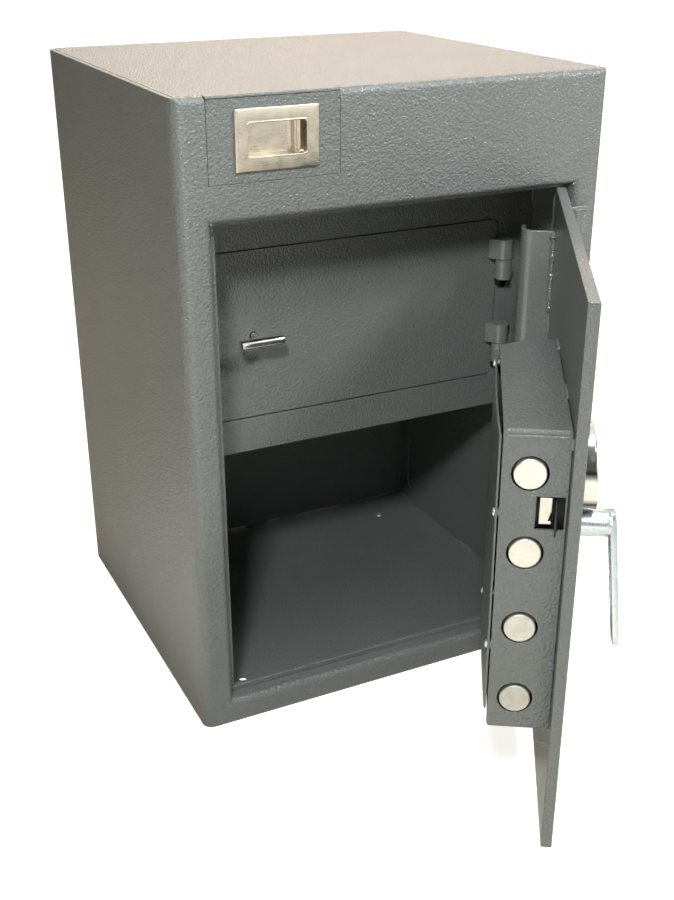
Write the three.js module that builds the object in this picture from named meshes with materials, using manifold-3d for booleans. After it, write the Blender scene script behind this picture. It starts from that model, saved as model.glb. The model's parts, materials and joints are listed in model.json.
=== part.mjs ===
import * as THREE from "three";
import { mergeVertices } from "three/addons/utils/BufferGeometryUtils.js";
import Module from "manifold-3d";

// Drop safe with a deposit drawer, in millimetres. Z is up, the front faces -Y, and the
// origin is the middle of the base. Inside the model y is counted from the front face.

const wasm = await Module();
wasm.setup();

// Body
const bodyWidth = 500;
const bodyHeight = 710;
const bodyDepth = 470;
const frontThick = 5;
const sideThick = 6;
const topThick = 6;
const floorThick = 6;
const backThick = 5;
const backInset = 29;
const rearReturn = 30;
const frontCorner = 12;
const rearCorner = 18;
const topCorner = 8;
const seam = 0.3;
const anchorHole = 12;
const anchorSide = 74;
const anchorFront = 70;
const anchorBack = 380;

// Main opening
const frontStrip = 35.5;
const openingBottom = 28;
const headHeight = 122;
const mouthRadius = 8;
const jambDepth = 20;
const lipThick = 6;
const lipReach = 9.3;
const lipReachEnd = 6.5;
const openingWidth = bodyWidth - 2 * frontStrip;
const openingTop = bodyHeight - headHeight;

// Main door, drawn shut and then swung open
const doorGap = 2.5;
const doorSill = 2;
const doorRecess = 6.4;
const doorThick = 10.8;
const doorSwing = 58;
const doorLeft = -openingWidth / 2 + doorGap;
const doorRight = openingWidth / 2 - doorGap;
const doorBottom = openingBottom + doorSill;
const doorTop = openingTop - doorSill;
const doorBack = doorRecess + doorThick;

// Main hinge
const hingeOut = 2;
const hingeForward = 7;
const barrelRadius = 6.5;
const pinRadius = 3;
const runGap = 0.3;
const hingeEnd = 24;
const hingeCap = 6;
const hingeBlockEnd = 20;
const hingeBlockThick = 11;
const knuckleRelief = 3.5;
const doorLeafWidth = 30;
const doorLeafThick = 4;
const leafClear = 2;
const knuckles = 7;
const hingeX = doorRight + hingeOut;
const hingeY = -hingeForward;
const hingeBottom = doorBottom + hingeEnd;
const hingeTop = doorTop - hingeEnd;

// Bolt box on the back of the door
const boxFace = 15.5;
const boxRise = 130;
const boxHeight = 307;
const boxDepth = 59.3;
const boxSheet = 2.5;
const boxSlopeStart = 232;
const boxSlopeMiddle = 259;
const boxSlopeEnd = 254;
const boxSlopeStep = 20;
const boxCutRise = 8;
const coverThick = 2;
const coverLift = 3.3;
const coverRise = 20;
const coverShort = 5;
const screwRadius = 2;
const screwHead = 4;
const screwHeadHeight = 2.2;
const screwLength = 12;
const screwInset = 7;
const screwFarInset = 15;
const screwEnd = 9;
const postRadius = 4.5;
const boltRadius = 14.5;
const boltEdge = 1;
const boltHoleGap = 2;
const boltLength = 86;
const boltCount = 4;
const boltRise = 33.5;
const boltHeadRoom = 40.4;
const boltSetback = 34.3;
const boltThrow = 22;
const carriageThick = 5;
const carriageWidth = 40;
const boxBottom = doorBottom + boxRise;
const boxTop = boxBottom + boxHeight;
const boxLeft = doorLeft + boxFace;
const boxBack = doorBack + boxDepth;
const coverFront = boxBack + coverLift;
const coverBack = coverFront + coverThick;
const coverBottom = boxBottom + coverRise;
const coverTop = boxTop - coverShort;
const boltFirst = boxBottom + boltRise;
const boltPitch = (boxHeight - boltRise - boltHeadRoom) / (boltCount - 1);
const boltY = doorBack + boltSetback;

// Lock in the bolt box
const slotAbove = 24.1;
const slotHeight = 32.3;
const slotFront = 2.5;
const slotDepth = 24.8;
const latchRise = 4.5;
const latchHeight = 26;
const latchThick = 11;
const latchNear = 13.3;
const latchTravel = 12;
const lockCaseDepth = 28.8;
const lockSetback = 10;
const lockLength = 36;
const lockMargin = 4;
const slotBottom = boltFirst + 2 * boltPitch + slotAbove;
const slotTop = slotBottom + slotHeight;
const latchBottom = slotBottom + latchRise;

// Handle and keypad on the front of the door
const handleInset = 102;
const handleRise = 308;
const neckRadius = 14;
const neckEndRadius = 13.3;
const neckLength = 38.4;
const leverWidth = 20;
const leverThick = 7;
const leverDrop = 119.5;
const leverTop = 11.8;
const leverLean = 5;
const leverTilt = 12;
const spindleRadius = 7;
const spindleGap = 0.5;
const spindleLength = 20;
const cableHole = 6;
const crankRadius = 15.56;
const crankThick = 5;
const crankSetback = 5;
const crankPinRadius = 3;
const crankPinGap = 0.9;
const keypadAbove = 59.5;
const keypadRadius = 41.5;
const keypadTopDepth = 14.9;
const keypadBottomDepth = 22.4;
const matRadius = 31;
const matCentre = 8;
const keyRadius = 5;
const keyPitchX = 15;
const keyPitchZ = 13;
const batterySplit = -26;
const handleX = doorLeft + handleInset;
const handleHeight = doorBottom + handleRise;
const keypadHeight = handleHeight + keypadAbove;

// Gooseneck strip on the hinge side of the door
const hookInset = 32;
const hookThick = 5;
const hookReach = 33.8;
const hookBend = 10;
const hookLip = 15;
const hookEnd = 41;
const hookBottom = doorBottom + hookEnd;
const hookTop = doorTop - hookEnd;

// Inner compartment
const bulkheadSetback = 120;
const bulkheadThick = 4;
const bulkheadSkirt = 43;
const bulkheadOver = 24;
const innerMarginLeft = 44;
const innerMarginRight = 49;
const innerHead = 63;
const innerDoorHeight = 198;
const innerSeam = 1.7;
const innerCorner = 8;
const innerStopReach = 8;
const innerStopOver = 4;
const innerStopThick = 3;
const innerHingeOut = 4;
const innerBarrel = 10.3;
const innerPin = 4.5;
const innerHalf = 24.5;
const innerHingeDown = 71.5;
const innerHingePitch = 106.5;
const innerLeafReach = 16.7;
const innerLeafThick = 3.2;
const reliefLeft = 6.4;
const reliefRight = 15.6;
const reliefBelow = 16.5;
const notchReach = 8;
const notchHeight = 15;
const compartmentDepth = 220;
const compartmentSheet = 3;
const roofAbove = 9;
const roofFlat = 66;
const roofDrop = 56;
const innerHandleInset = 72.5;
const innerHandleDown = 99;
const innerHandleLength = 52;
const innerHandleRadius = 5.9;
const innerStemRadius = 4;
const innerHandleOut = 27;
const camReach = 84;
const camWidth = 18;
const camThick = 4;
const innerWidth = bodyWidth - 2 * sideThick;
const innerDoorLeft = -innerWidth / 2 + innerMarginLeft;
const innerDoorRight = innerWidth / 2 - innerMarginRight;
const innerDoorTop = openingTop - innerHead;
const innerDoorBottom = innerDoorTop - innerDoorHeight;
const bulkheadBottom = innerDoorBottom - bulkheadSkirt;
const bulkheadTop = openingTop + bulkheadOver;
const roofLevel = openingTop + roofAbove;
const compartmentBackY = bulkheadSetback + compartmentDepth;
const wallFace = innerWidth / 2 - seam;
const innerHingeX = innerDoorRight + innerHingeOut;
const innerHingeY = bulkheadSetback - innerBarrel - 0.5;
const innerHingeHigh = innerDoorTop - innerHingeDown;
const innerHingeLow = innerHingeHigh - innerHingePitch;
const innerHandleX = innerDoorLeft + innerHandleInset;
const innerHandleZ = innerDoorTop - innerHandleDown;

// Deposit drawer
const drawerInset = 34;
const drawerWidth = 140;
const drawerHeight = 80;
const drawerBelowTop = 3.4;
const drawerSeam = 0.4;
const drawerPanel = 4;
const traySheet = 2;
const trayDepth = 192;
const trayGap = 4;
const trayShort = 7.6;
const trayUnder = 3.4;
const trayRise = 38;
const housingSheet = 2;
const housingGap = 1;
const housingUnder = 7.6;
const housingDepth = 200;
const housingEar = 6;
const runnerHeight = 10;
const railThick = 2;
const pullWidth = 88.6;
const pullHeight = 60;
const pullAside = 1.7;
const pullBelowTop = 9.6;
const pullCupWidth = 60.4;
const pullCupHeight = 31;
const pullCupDepth = 11;
const pullHoleGap = 3;
const pullProud = 3;
const pullBevel = 5;
const pullSheet = 1.5;
const flapLength = 70;
const flapThick = 1.6;
const flapGap = 1.5;
const flapRest = 75;
const flapPin = 2.5;
const flapBarrel = 4.5;
const drawerLeft = -bodyWidth / 2 + drawerInset;
const drawerRight = drawerLeft + drawerWidth;
const drawerTop = bodyHeight - drawerBelowTop;
const drawerBottom = drawerTop - drawerHeight;
const pullX = (drawerLeft + drawerRight) / 2 + pullAside;
const pullZ = drawerTop - pullBelowTop - pullHeight / 2;
const trayLeft = drawerLeft + trayGap;
const trayRight = drawerRight - trayGap;
const trayFront = drawerPanel + seam;
const trayBack = trayFront + trayDepth;
const trayTop = drawerTop - trayShort;
const trayBottom = drawerBottom + trayUnder;
const trayHigh = trayBottom + trayRise;
const runnerZ = (trayBottom + trayTop) / 2;
const housingLeft = drawerLeft - housingGap - housingSheet;
const housingRight = drawerRight + housingGap + housingSheet;
const housingTop = bodyHeight - topThick - seam;
const housingBottom = drawerBottom - housingUnder;
const housingFront = topCorner + seam;
const housingBack = housingFront + housingDepth;
const flapZ = housingTop - housingSheet - flapBarrel - 1;
const flapY = housingBack - 2;

const paint = { color: 0x6b716f, roughness: 0.45, metalness: 0.25 };
const steel = { color: 0xc9c8c2, roughness: 0.35, metalness: 1 };
const chrome = { color: 0xdfe2e4, roughness: 0.1, metalness: 1 };
const satin = { color: 0xb4bcc0, roughness: 0.3, metalness: 1 };
const dark = { color: 0x17181a, roughness: 0.5, metalness: 0.1 };
const zinc = { color: 0x9a9a92, roughness: 0.4, metalness: 0.9 };

// Shapes as solids: the positions are merged so that each one is closed
function solid(geometry) {
  const bare = geometry.clone();
  for (const name of Object.keys(bare.attributes)) {
    if (name !== "position") bare.deleteAttribute(name);
  }
  const merged = mergeVertices(bare, 1e-4);
  return new wasm.Manifold(new wasm.Mesh({
    numProp: 3,
    vertProperties: new Float32Array(merged.attributes.position.array),
    triVerts: new Uint32Array(merged.index.array),
  }));
}

function join(...geometries) {
  return geometries.map((form) => (form.isBufferGeometry ? solid(form) : form))
    .reduce((whole, next) => whole.add(next));
}

function cut(body, ...tools) {
  const base = body.isBufferGeometry ? solid(body) : body;
  return tools.reduce((rest, tool) => rest.subtract(tool.isBufferGeometry ? solid(tool) : tool), base);
}

function common(first, second) {
  return solid(first).intersect(solid(second));
}

function piece(name, form, look) {
  let geometry = form;
  if (!form.isBufferGeometry) {
    const mesh = form.getMesh();
    geometry = new THREE.BufferGeometry();
    geometry.setAttribute("position", new THREE.BufferAttribute(mesh.vertProperties, 3));
    geometry.setIndex(new THREE.BufferAttribute(mesh.triVerts, 1));
    geometry.computeVertexNormals();
  }
  const mesh = new THREE.Mesh(geometry, new THREE.MeshStandardMaterial(look));
  mesh.name = name;
  return mesh;
}

function box(x0, x1, y0, y1, z0, z1) {
  const geometry = new THREE.BoxGeometry(x1 - x0, y1 - y0, z1 - z0);
  return geometry.translate((x0 + x1) / 2, (y0 + y1) / 2, (z0 + z1) / 2);
}

function extrude(shape, depth, curveSegments = 6) {
  return new THREE.ExtrudeGeometry(shape, { depth, bevelEnabled: false, curveSegments });
}

// A section seen from above, carried up from z0 to z1
function upright(shape, z0, z1, curveSegments) {
  return extrude(shape, z1 - z0, curveSegments).translate(0, 0, z0);
}

// A section drawn as x and z, carried back from y0 to y1
function facing(shape, y0, y1, curveSegments) {
  return extrude(shape, y1 - y0, curveSegments).rotateX(Math.PI / 2).translate(0, y1, 0);
}

// A section drawn as y and z, carried across from x0 to x1
const acrossTurn = new THREE.Matrix4().set(0, 0, 1, 0, 1, 0, 0, 0, 0, 1, 0, 0, 0, 0, 0, 1);
function across(shape, x0, x1, curveSegments) {
  return extrude(shape, x1 - x0, curveSegments).applyMatrix4(acrossTurn).translate(x0, 0, 0);
}

function polygon(points) {
  return new THREE.Shape(points.map(([a, b]) => new THREE.Vector2(a, b)));
}

function roundedRect(a0, a1, b0, b1, radius) {
  const shape = new THREE.Shape();
  shape.moveTo(a0 + radius, b0);
  shape.lineTo(a1 - radius, b0);
  shape.absarc(a1 - radius, b0 + radius, radius, -Math.PI / 2, 0);
  shape.lineTo(a1, b1 - radius);
  shape.absarc(a1 - radius, b1 - radius, radius, 0, Math.PI / 2);
  shape.lineTo(a0 + radius, b1);
  shape.absarc(a0 + radius, b1 - radius, radius, Math.PI / 2, Math.PI);
  shape.lineTo(a0, b0 + radius);
  shape.absarc(a0 + radius, b0 + radius, radius, Math.PI, Math.PI * 1.5);
  return shape;
}

// A round bar about a line that runs along x, y or z
function rod(axis, radius, from, to, a, b, sides = 24, endRadius = radius) {
  const geometry = new THREE.CylinderGeometry(endRadius, radius, to - from, sides);
  geometry.translate(0, (from + to) / 2, 0);
  if (axis === "x") return geometry.rotateZ(-Math.PI / 2).translate(0, a, b);
  if (axis === "y") return geometry.translate(a, 0, b);
  return geometry.rotateX(Math.PI / 2).translate(a, b, 0);
}

// The safe's plan, drawn in from the outside by an inset
function planOutline(inset, y0, y1) {
  const half = bodyWidth / 2 - inset;
  const front = Math.max(frontCorner - inset, 0.5);
  const rear = Math.max(rearCorner - inset, 0.5);
  const shape = new THREE.Shape();
  shape.moveTo(-half + front, y0);
  shape.lineTo(half - front, y0);
  shape.absarc(half - front, y0 + front, front, -Math.PI / 2, 0);
  shape.lineTo(half, y1 - rear);
  shape.absarc(half - rear, y1 - rear, rear, 0, Math.PI / 2);
  shape.lineTo(-half + rear, y1);
  shape.absarc(-half + rear, y1 - rear, rear, Math.PI / 2, Math.PI);
  shape.lineTo(-half, y0 + front);
  shape.absarc(-half + front, y0 + front, front, Math.PI, Math.PI * 1.5);
  return shape;
}

// Side section of the rolled front, rounded over at the top edge
function frontSection(inset, back) {
  const top = bodyHeight - inset;
  const radius = topCorner - inset;
  const shape = new THREE.Shape();
  shape.moveTo(inset, -1);
  shape.lineTo(back, -1);
  shape.lineTo(back, top);
  shape.lineTo(inset + radius, top);
  shape.absarc(inset + radius, top - radius, radius, Math.PI / 2, Math.PI);
  shape.lineTo(inset, -1);
  return shape;
}

// Mouth of the main opening: straight jambs with a flared, rounded front edge
function mouthSection(low, high, swapped) {
  const outer = mouthRadius;
  const shape = new THREE.Shape();
  const point = (a, y) => (swapped ? [y, a] : [a, y]);
  const path = [];
  for (let i = 0; i <= 6; i += 1) {
    const angle = (i / 6) * Math.PI / 2;
    path.push(point(high + outer - outer * Math.sin(angle), outer - outer * Math.cos(angle)));
  }
  path.push(point(high, jambDepth + 1), point(low, jambDepth + 1));
  for (let i = 6; i >= 0; i -= 1) {
    const angle = (i / 6) * Math.PI / 2;
    path.push(point(low - outer + outer * Math.sin(angle), outer - outer * Math.cos(angle)));
  }
  path.push(point(low - outer, -1), point(high + outer, -1));
  path.forEach(([a, b], i) => (i ? shape.lineTo(a, b) : shape.moveTo(a, b)));
  return shape;
}

function frontFrame() {
  const half = openingWidth / 2;
  const outer = common(
    upright(planOutline(0, 0, bodyDepth), 0, bodyHeight, 5),
    across(frontSection(0, frontCorner), -bodyWidth, bodyWidth, 5),
  );
  const inner = common(
    upright(planOutline(frontThick, frontThick, bodyDepth), -2, bodyHeight - frontThick, 5),
    across(frontSection(frontThick, frontCorner + 1), -bodyWidth, bodyWidth, 5),
  );
  const jamb = box(-half - frontThick, half + frontThick, 1, jambDepth,
    openingBottom - frontThick, openingTop + frontThick);
  const mouth = common(
    upright(mouthSection(-half, half, false), -50, bodyHeight + 50, 6),
    across(mouthSection(openingBottom, openingTop, true), -bodyWidth, bodyWidth, 6),
  );
  const notch = box(drawerLeft - drawerSeam, drawerRight + drawerSeam, -1, frontCorner + 1,
    drawerBottom - drawerSeam, bodyHeight + 1);
  return piece("front_frame", cut(outer.subtract(inner).add(solid(jamb)), mouth, notch), paint);
}

// One folded side sheet: flat side, rounded rear corner and a short return across the back
function sideSheet(name, mirror) {
  const half = bodyWidth / 2;
  const shape = new THREE.Shape();
  shape.moveTo(half, frontCorner + seam);
  shape.lineTo(half, bodyDepth - rearCorner);
  shape.absarc(half - rearCorner, bodyDepth - rearCorner, rearCorner, 0, Math.PI / 2);
  shape.lineTo(half - rearReturn, bodyDepth);
  shape.lineTo(half - rearReturn, bodyDepth - sideThick);
  shape.lineTo(half - rearCorner, bodyDepth - sideThick);
  shape.absarc(half - rearCorner, bodyDepth - rearCorner, rearCorner - sideThick, Math.PI / 2, 0, true);
  shape.lineTo(half - sideThick, frontCorner + seam);
  const sheet = solid(upright(shape, 0, bodyHeight, 6));
  return piece(name, mirror ? sheet.mirror([1, 0, 0]) : sheet, paint);
}

function topPlate() {
  const under = bodyHeight - topThick;
  const inset = sideThick + seam;
  const tongue = bodyWidth / 2 - rearReturn - seam;
  const plate = join(
    upright(planOutline(inset, frontCorner + seam - 20, bodyDepth - inset), under, bodyHeight, 6),
    box(-tongue, tongue, bodyDepth - 40, bodyDepth, under, bodyHeight),
  );
  const front = box(-bodyWidth, bodyWidth, -30, frontCorner + seam, 0, bodyHeight + 1);
  const lip = box(drawerLeft, drawerRight, 1, frontCorner + 2, drawerTop + drawerSeam, bodyHeight);
  return piece("top_plate", cut(plate, front).add(solid(lip)), paint);
}

function bottomPlate() {
  const inset = sideThick + seam;
  const plate = upright(planOutline(inset, frontThick + seam, bodyDepth - inset), 0, floorThick, 6);
  const holes = [];
  for (const side of [-1, 1]) {
    for (const y of [anchorFront, anchorBack]) {
      holes.push(rod("z", anchorHole / 2, -1, floorThick + 1, side * (bodyWidth / 2 - anchorSide), y));
    }
  }
  return piece("bottom_plate", cut(plate, ...holes), paint);
}

function backPlate() {
  const half = innerWidth / 2 - seam;
  const outer = bodyDepth - backInset;
  return piece("back_plate",
    box(-half, half, outer - backThick, outer, floorThick + seam, bodyHeight - topThick - seam), paint);
}

function stopLip() {
  const half = openingWidth / 2;
  const rim = frontThick;
  const ring = facing(polygon([
    [-half - rim, openingBottom - rim], [half + rim, openingBottom - rim],
    [half + rim, openingTop + rim], [-half - rim, openingTop + rim],
  ]), jambDepth + seam, jambDepth + seam + lipThick);
  const hole = box(-half + lipReach, half - lipReach, jambDepth - 1, jambDepth + lipThick + 2,
    openingBottom + lipReachEnd, openingTop - lipReachEnd);
  return piece("stop_lip", cut(ring, hole), paint);
}

function wallStrip() {
  const wall = innerWidth / 2;
  const rear = bodyDepth - backInset - backThick;
  return piece("wall_strip",
    box(wall - seam - 3, wall - seam, rear - 31, rear - 21, floorThick + 24, bulkheadBottom - 2), paint);
}

// Main hinge: alternate knuckles on the body block and on the door leaf
function knuckleSpan(index) {
  const pitch = (hingeTop - hingeBottom) / knuckles;
  return [hingeBottom + index * pitch + runGap, hingeBottom + (index + 1) * pitch - runGap];
}

function hingeBody() {
  const block = box(hingeX, hingeX + hingeBlockEnd, hingeY + barrelRadius - hingeBlockThick, -seam,
    hingeBottom, hingeTop);
  const barrel = rod("z", barrelRadius, hingeBottom, hingeTop, hingeX, hingeY);
  const gaps = [];
  for (let i = 1; i < knuckles; i += 2) {
    const [low, high] = knuckleSpan(i);
    gaps.push(box(hingeX - 20, hingeX + barrelRadius + knuckleRelief, hingeY - 20, 5,
      low - 2 * runGap, high + 2 * runGap));
  }
  const bore = rod("z", pinRadius + runGap, hingeBottom - 1, hingeTop - hingeCap, hingeX, hingeY);
  return piece("main_hinge_body", cut(join(block, barrel), bore, ...gaps), paint);
}

function hingeLeaf() {
  const back = doorRecess - seam;
  const end = hingeX - barrelRadius - leafClear;
  const leaf = box(end - doorLeafWidth, end + 2, back - doorLeafThick, back, hingeBottom, hingeTop);
  const parts = [leaf];
  for (let i = 1; i < knuckles; i += 2) {
    const [low, high] = knuckleSpan(i);
    parts.push(rod("z", barrelRadius, low, high, hingeX, hingeY));
    parts.push(box(end, hingeX - 2, hingeY, back, low, high));
  }
  const bore = rod("z", pinRadius + runGap, hingeBottom - 1, hingeTop + 1, hingeX, hingeY);
  return piece("main_hinge_leaf", cut(join(...parts), bore), paint);
}

function hingePin() {
  const top = hingeTop - hingeCap - runGap;
  return piece("main_hinge_pin", rod("z", pinRadius, hingeBottom, top, hingeX, hingeY), steel);
}

// Main door
function doorPlate() {
  const plate = box(doorLeft, doorRight, doorRecess, doorBack, doorBottom, doorTop);
  return piece("door_plate", cut(plate,
    rod("y", spindleRadius + spindleGap, 0, doorBack + 5, handleX, handleHeight),
    rod("y", cableHole, 0, doorBack + 5, handleX, keypadHeight)), paint);
}

function hookStrip() {
  const x = doorRight - hookInset;
  const start = doorBack + seam;
  const bendY = doorBack + hookReach - hookBend;
  const outer = hookBend + hookThick / 2;
  const inner = hookBend - hookThick / 2;
  const shape = new THREE.Shape();
  shape.moveTo(x - hookThick / 2, start);
  shape.lineTo(x - hookThick / 2, bendY);
  shape.absarc(x + hookBend, bendY, outer, Math.PI, Math.PI / 2, true);
  shape.lineTo(x + hookBend + hookLip, bendY + outer);
  shape.lineTo(x + hookBend + hookLip, bendY + inner);
  shape.lineTo(x + hookBend, bendY + inner);
  shape.absarc(x + hookBend, bendY, inner, Math.PI / 2, Math.PI);
  shape.lineTo(x + hookThick / 2, start);
  return piece("hook_strip", upright(shape, hookBottom, hookTop, 6), paint);
}

// Bolt box: a folded cover with a sloping hinge end and a cut lower rear corner
function boxPlan(inset, y0, y1) {
  return polygon([
    [boxLeft + inset, y0], [doorLeft + boxSlopeEnd - inset, y0],
    [doorLeft + boxSlopeMiddle - inset, doorBack + boxSlopeStep],
    [doorLeft + boxSlopeStart - inset, y1], [boxLeft + inset, y1],
  ]);
}

function boltHeights() {
  return Array.from({ length: boltCount }, (unused, i) => boltFirst + i * boltPitch);
}

function boltBox() {
  const shell = upright(boxPlan(0, doorBack + seam, boxBack), boxBottom, boxTop);
  const hollow = upright(boxPlan(boxSheet, doorBack - 1, boxBack + 1), boxBottom + boxSheet, boxTop - boxSheet);
  const holes = boltHeights().map((z) =>
    rod("x", boltRadius + boltHoleGap, boxLeft - 5, boxLeft + boxSheet + 5, boltY, z));
  const slot = box(boxLeft - 5, boxLeft + boxSheet + 1, doorBack + slotFront, doorBack + slotFront + slotDepth,
    slotBottom, slotTop);
  const lowCorner = across(polygon([
    [boxBack - boxSheet + 0.5, boxBottom - 1], [boxBack + 2, boxBottom - 1],
    [boxBack + 2, boxBottom + boxCutRise],
  ]), boxLeft - 5, doorRight);
  return piece("bolt_box", cut(cut(shell, hollow), slot, lowCorner, ...holes), paint);
}

// Each cover screw as x, z and the depth that its post stands on
function coverScrews() {
  const nearEdge = boxLeft + screwInset;
  const farEdge = doorLeft + boxSlopeStart - screwFarInset;
  const onDoor = doorBack + seam;
  const onCase = doorBack + lockCaseDepth + seam;
  return [
    [nearEdge, boltFirst + boltPitch * 0.7, onDoor], [nearEdge, (slotBottom + slotTop) / 2 - 4, onCase],
    [farEdge, coverBottom + screwEnd, onDoor], [farEdge, coverTop - screwEnd, onDoor],
  ];
}

function boxCover() {
  const far = doorLeft + boxSlopeStart;
  const sheet = box(boxLeft + 1, far, coverFront, coverBack, coverBottom, coverTop);
  const holes = coverScrews().map(([x, z]) =>
    rod("y", screwRadius + runGap, coverFront - 1, coverBack + 1, x, z, 12));
  return piece("box_cover", cut(sheet, ...holes), paint);
}

function coverPost(name, x, z, foot) {
  const post = rod("y", postRadius, foot, coverFront - seam, x, z, 12);
  const bore = rod("y", screwRadius + runGap, coverFront - screwLength - 2, coverFront + 1, x, z, 12);
  return piece(name, cut(post, bore), zinc);
}

function coverScrew(name, x, z) {
  const head = rod("y", screwHead, 0, screwHeadHeight, 0, 0, 12, screwHead * 0.6);
  const shank = rod("y", screwRadius, -screwLength, 0.5, 0, 0, 12);
  const screw = piece(name, join(head, shank), steel);
  screw.position.set(x, coverBack + seam, z);
  return screw;
}

function bolt(name, z) {
  const body = new THREE.LatheGeometry([
    new THREE.Vector2(0, 0), new THREE.Vector2(boltRadius - boltEdge, 0),
    new THREE.Vector2(boltRadius, boltEdge),
    new THREE.Vector2(boltRadius, boltLength), new THREE.Vector2(0, boltLength),
  ], 32);
  const mesh = piece(name, body, steel);
  mesh.position.set(boxLeft, boltY, z);
  mesh.rotation.z = -Math.PI / 2;
  return mesh;
}

const carriageBack = boltY - boltRadius - seam;
const carriageFront = carriageBack - carriageThick;
const crankFront = doorBack + crankSetback;

function carriage() {
  const slotX = handleX + boltThrow / 2;
  const plate = box(slotX - carriageWidth / 2, slotX + carriageWidth / 2, carriageFront, carriageBack,
    boltFirst - boltRadius, boltFirst + (boltCount - 1) * boltPitch + boltRadius);
  const slotHalf = crankPinRadius + crankPinGap;
  const low = handleHeight + crankRadius * Math.SQRT1_2 - slotHalf;
  const high = handleHeight + crankRadius + slotHalf;
  const slot = facing(roundedRect(slotX - slotHalf, slotX + slotHalf, low, high, slotHalf - 0.01),
    carriageFront - 1, carriageBack + 1, 6);
  return piece("bolt_carriage", cut(plate, slot), zinc);
}

function crank() {
  const angle = Math.PI / 4;
  const pinX = crankRadius * Math.cos(angle);
  const pinZ = crankRadius * Math.sin(angle);
  const shaft = rod("y", spindleRadius, -spindleLength, crankFront - doorRecess + 1, 0, 0);
  const front = crankFront - doorRecess;
  const disc = rod("y", crankRadius + crankPinRadius + 2, front, front + crankThick, 0, 0, 32);
  const pin = rod("y", crankPinRadius, front, carriageBack - doorRecess + 0.2, pinX, pinZ, 16);
  return piece("crank", join(shaft, disc, pin), zinc);
}

function handle() {
  const neckEnd = -neckLength;
  const neck = new THREE.LatheGeometry([
    new THREE.Vector2(0, neckEnd), new THREE.Vector2(neckEndRadius, neckEnd),
    new THREE.Vector2(neckEndRadius + 0.5, neckEnd + 6), new THREE.Vector2(neckRadius, -8),
    new THREE.Vector2(neckRadius, -seam), new THREE.Vector2(0, -seam),
  ], 32);
  const lever = facing(roundedRect(-leverWidth / 2, leverWidth / 2, -leverDrop, leverTop, 4),
    -leverThick / 2, leverThick / 2, 4);
  lever.rotateX(-THREE.MathUtils.degToRad(leverLean)).translate(0, neckEnd - leverThick / 2 + 1.2, 0);
  lever.rotateY(THREE.MathUtils.degToRad(leverTilt));
  const socket = rod("y", spindleRadius + seam, -spindleLength - 0.5, 1, 0, 0);
  return piece("door_handle", cut(join(neck, lever), socket), satin);
}

// Keypad: a round wedge housing, thicker at the bottom, with a battery part and a key mat
function keypadFacePlane(offset) {
  const top = doorRecess - keypadTopDepth - offset;
  const bottom = doorRecess - keypadBottomDepth - offset;
  return [top, bottom];
}

function keypadWedge(radius, offset, back) {
  const [top, bottom] = keypadFacePlane(offset);
  const reach = keypadRadius;
  const side = across(polygon([
    [top, reach], [bottom, -reach], [bottom - (bottom - top) * 0.1, -reach - 4], [back, -reach - 4],
    [back, reach + 4], [top + (bottom - top) * -0.1, reach + 4],
  ]), -reach - 5, reach + 5);
  return common(rod("y", radius, -60, 20, 0, 0, 48), side);
}

function keypad() {
  const back = doorRecess - seam;
  const whole = keypadWedge(keypadRadius, 0, back);
  const pocket = cut(solid(rod("y", matRadius + 0.5, -60, 20, 0, matCentre, 40)), keypadWedgeBack(-2));
  const split = box(-60, 60, -60, 20, -60, batterySplit + 0.2);
  const splitUp = box(-60, 60, -60, 20, batterySplit - 0.2, 60);
  const housing = piece("keypad_housing", whole.subtract(solid(split)).subtract(pocket), chrome);
  const battery = piece("battery_cover", whole.subtract(solid(splitUp)), chrome);
  const mat = piece("key_mat", keyMat(), dark);
  for (const mesh of [housing, battery, mat]) mesh.position.set(handleX, 0, keypadHeight);
  return [housing, battery, mat];
}

// Everything behind the tilted face plane moved out by an offset
function keypadWedgeBack(offset) {
  const [top, bottom] = keypadFacePlane(offset);
  const slope = (top - bottom) / (2 * keypadRadius);
  const wide = 2 * keypadRadius;
  const at = (z) => top + slope * (z - keypadRadius);
  return solid(across(polygon([
    [at(-wide), -wide], [wide, -wide], [wide, wide], [at(wide), wide],
  ]), -wide, wide));
}

function keyMat() {
  const sheet = solid(rod("y", matRadius, -60, 20, 0, matCentre, 40));
  const layer = sheet.intersect(keypadWedgeBack(-0.2)).subtract(keypadWedgeBack(-1.7));
  const keys = [];
  for (let row = 0; row < 4; row += 1) {
    for (let column = 0; column < 3; column += 1) {
      const z = matCentre + (1.5 - row) * keyPitchZ;
      keys.push(solid(rod("y", keyRadius, -60, 20, (column - 1) * keyPitchX, z, 16)));
    }
  }
  const raised = keys.reduce((whole, next) => whole.add(next))
    .intersect(keypadWedgeBack(1)).subtract(keypadWedgeBack(-1));
  return layer.add(raised);
}

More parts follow.
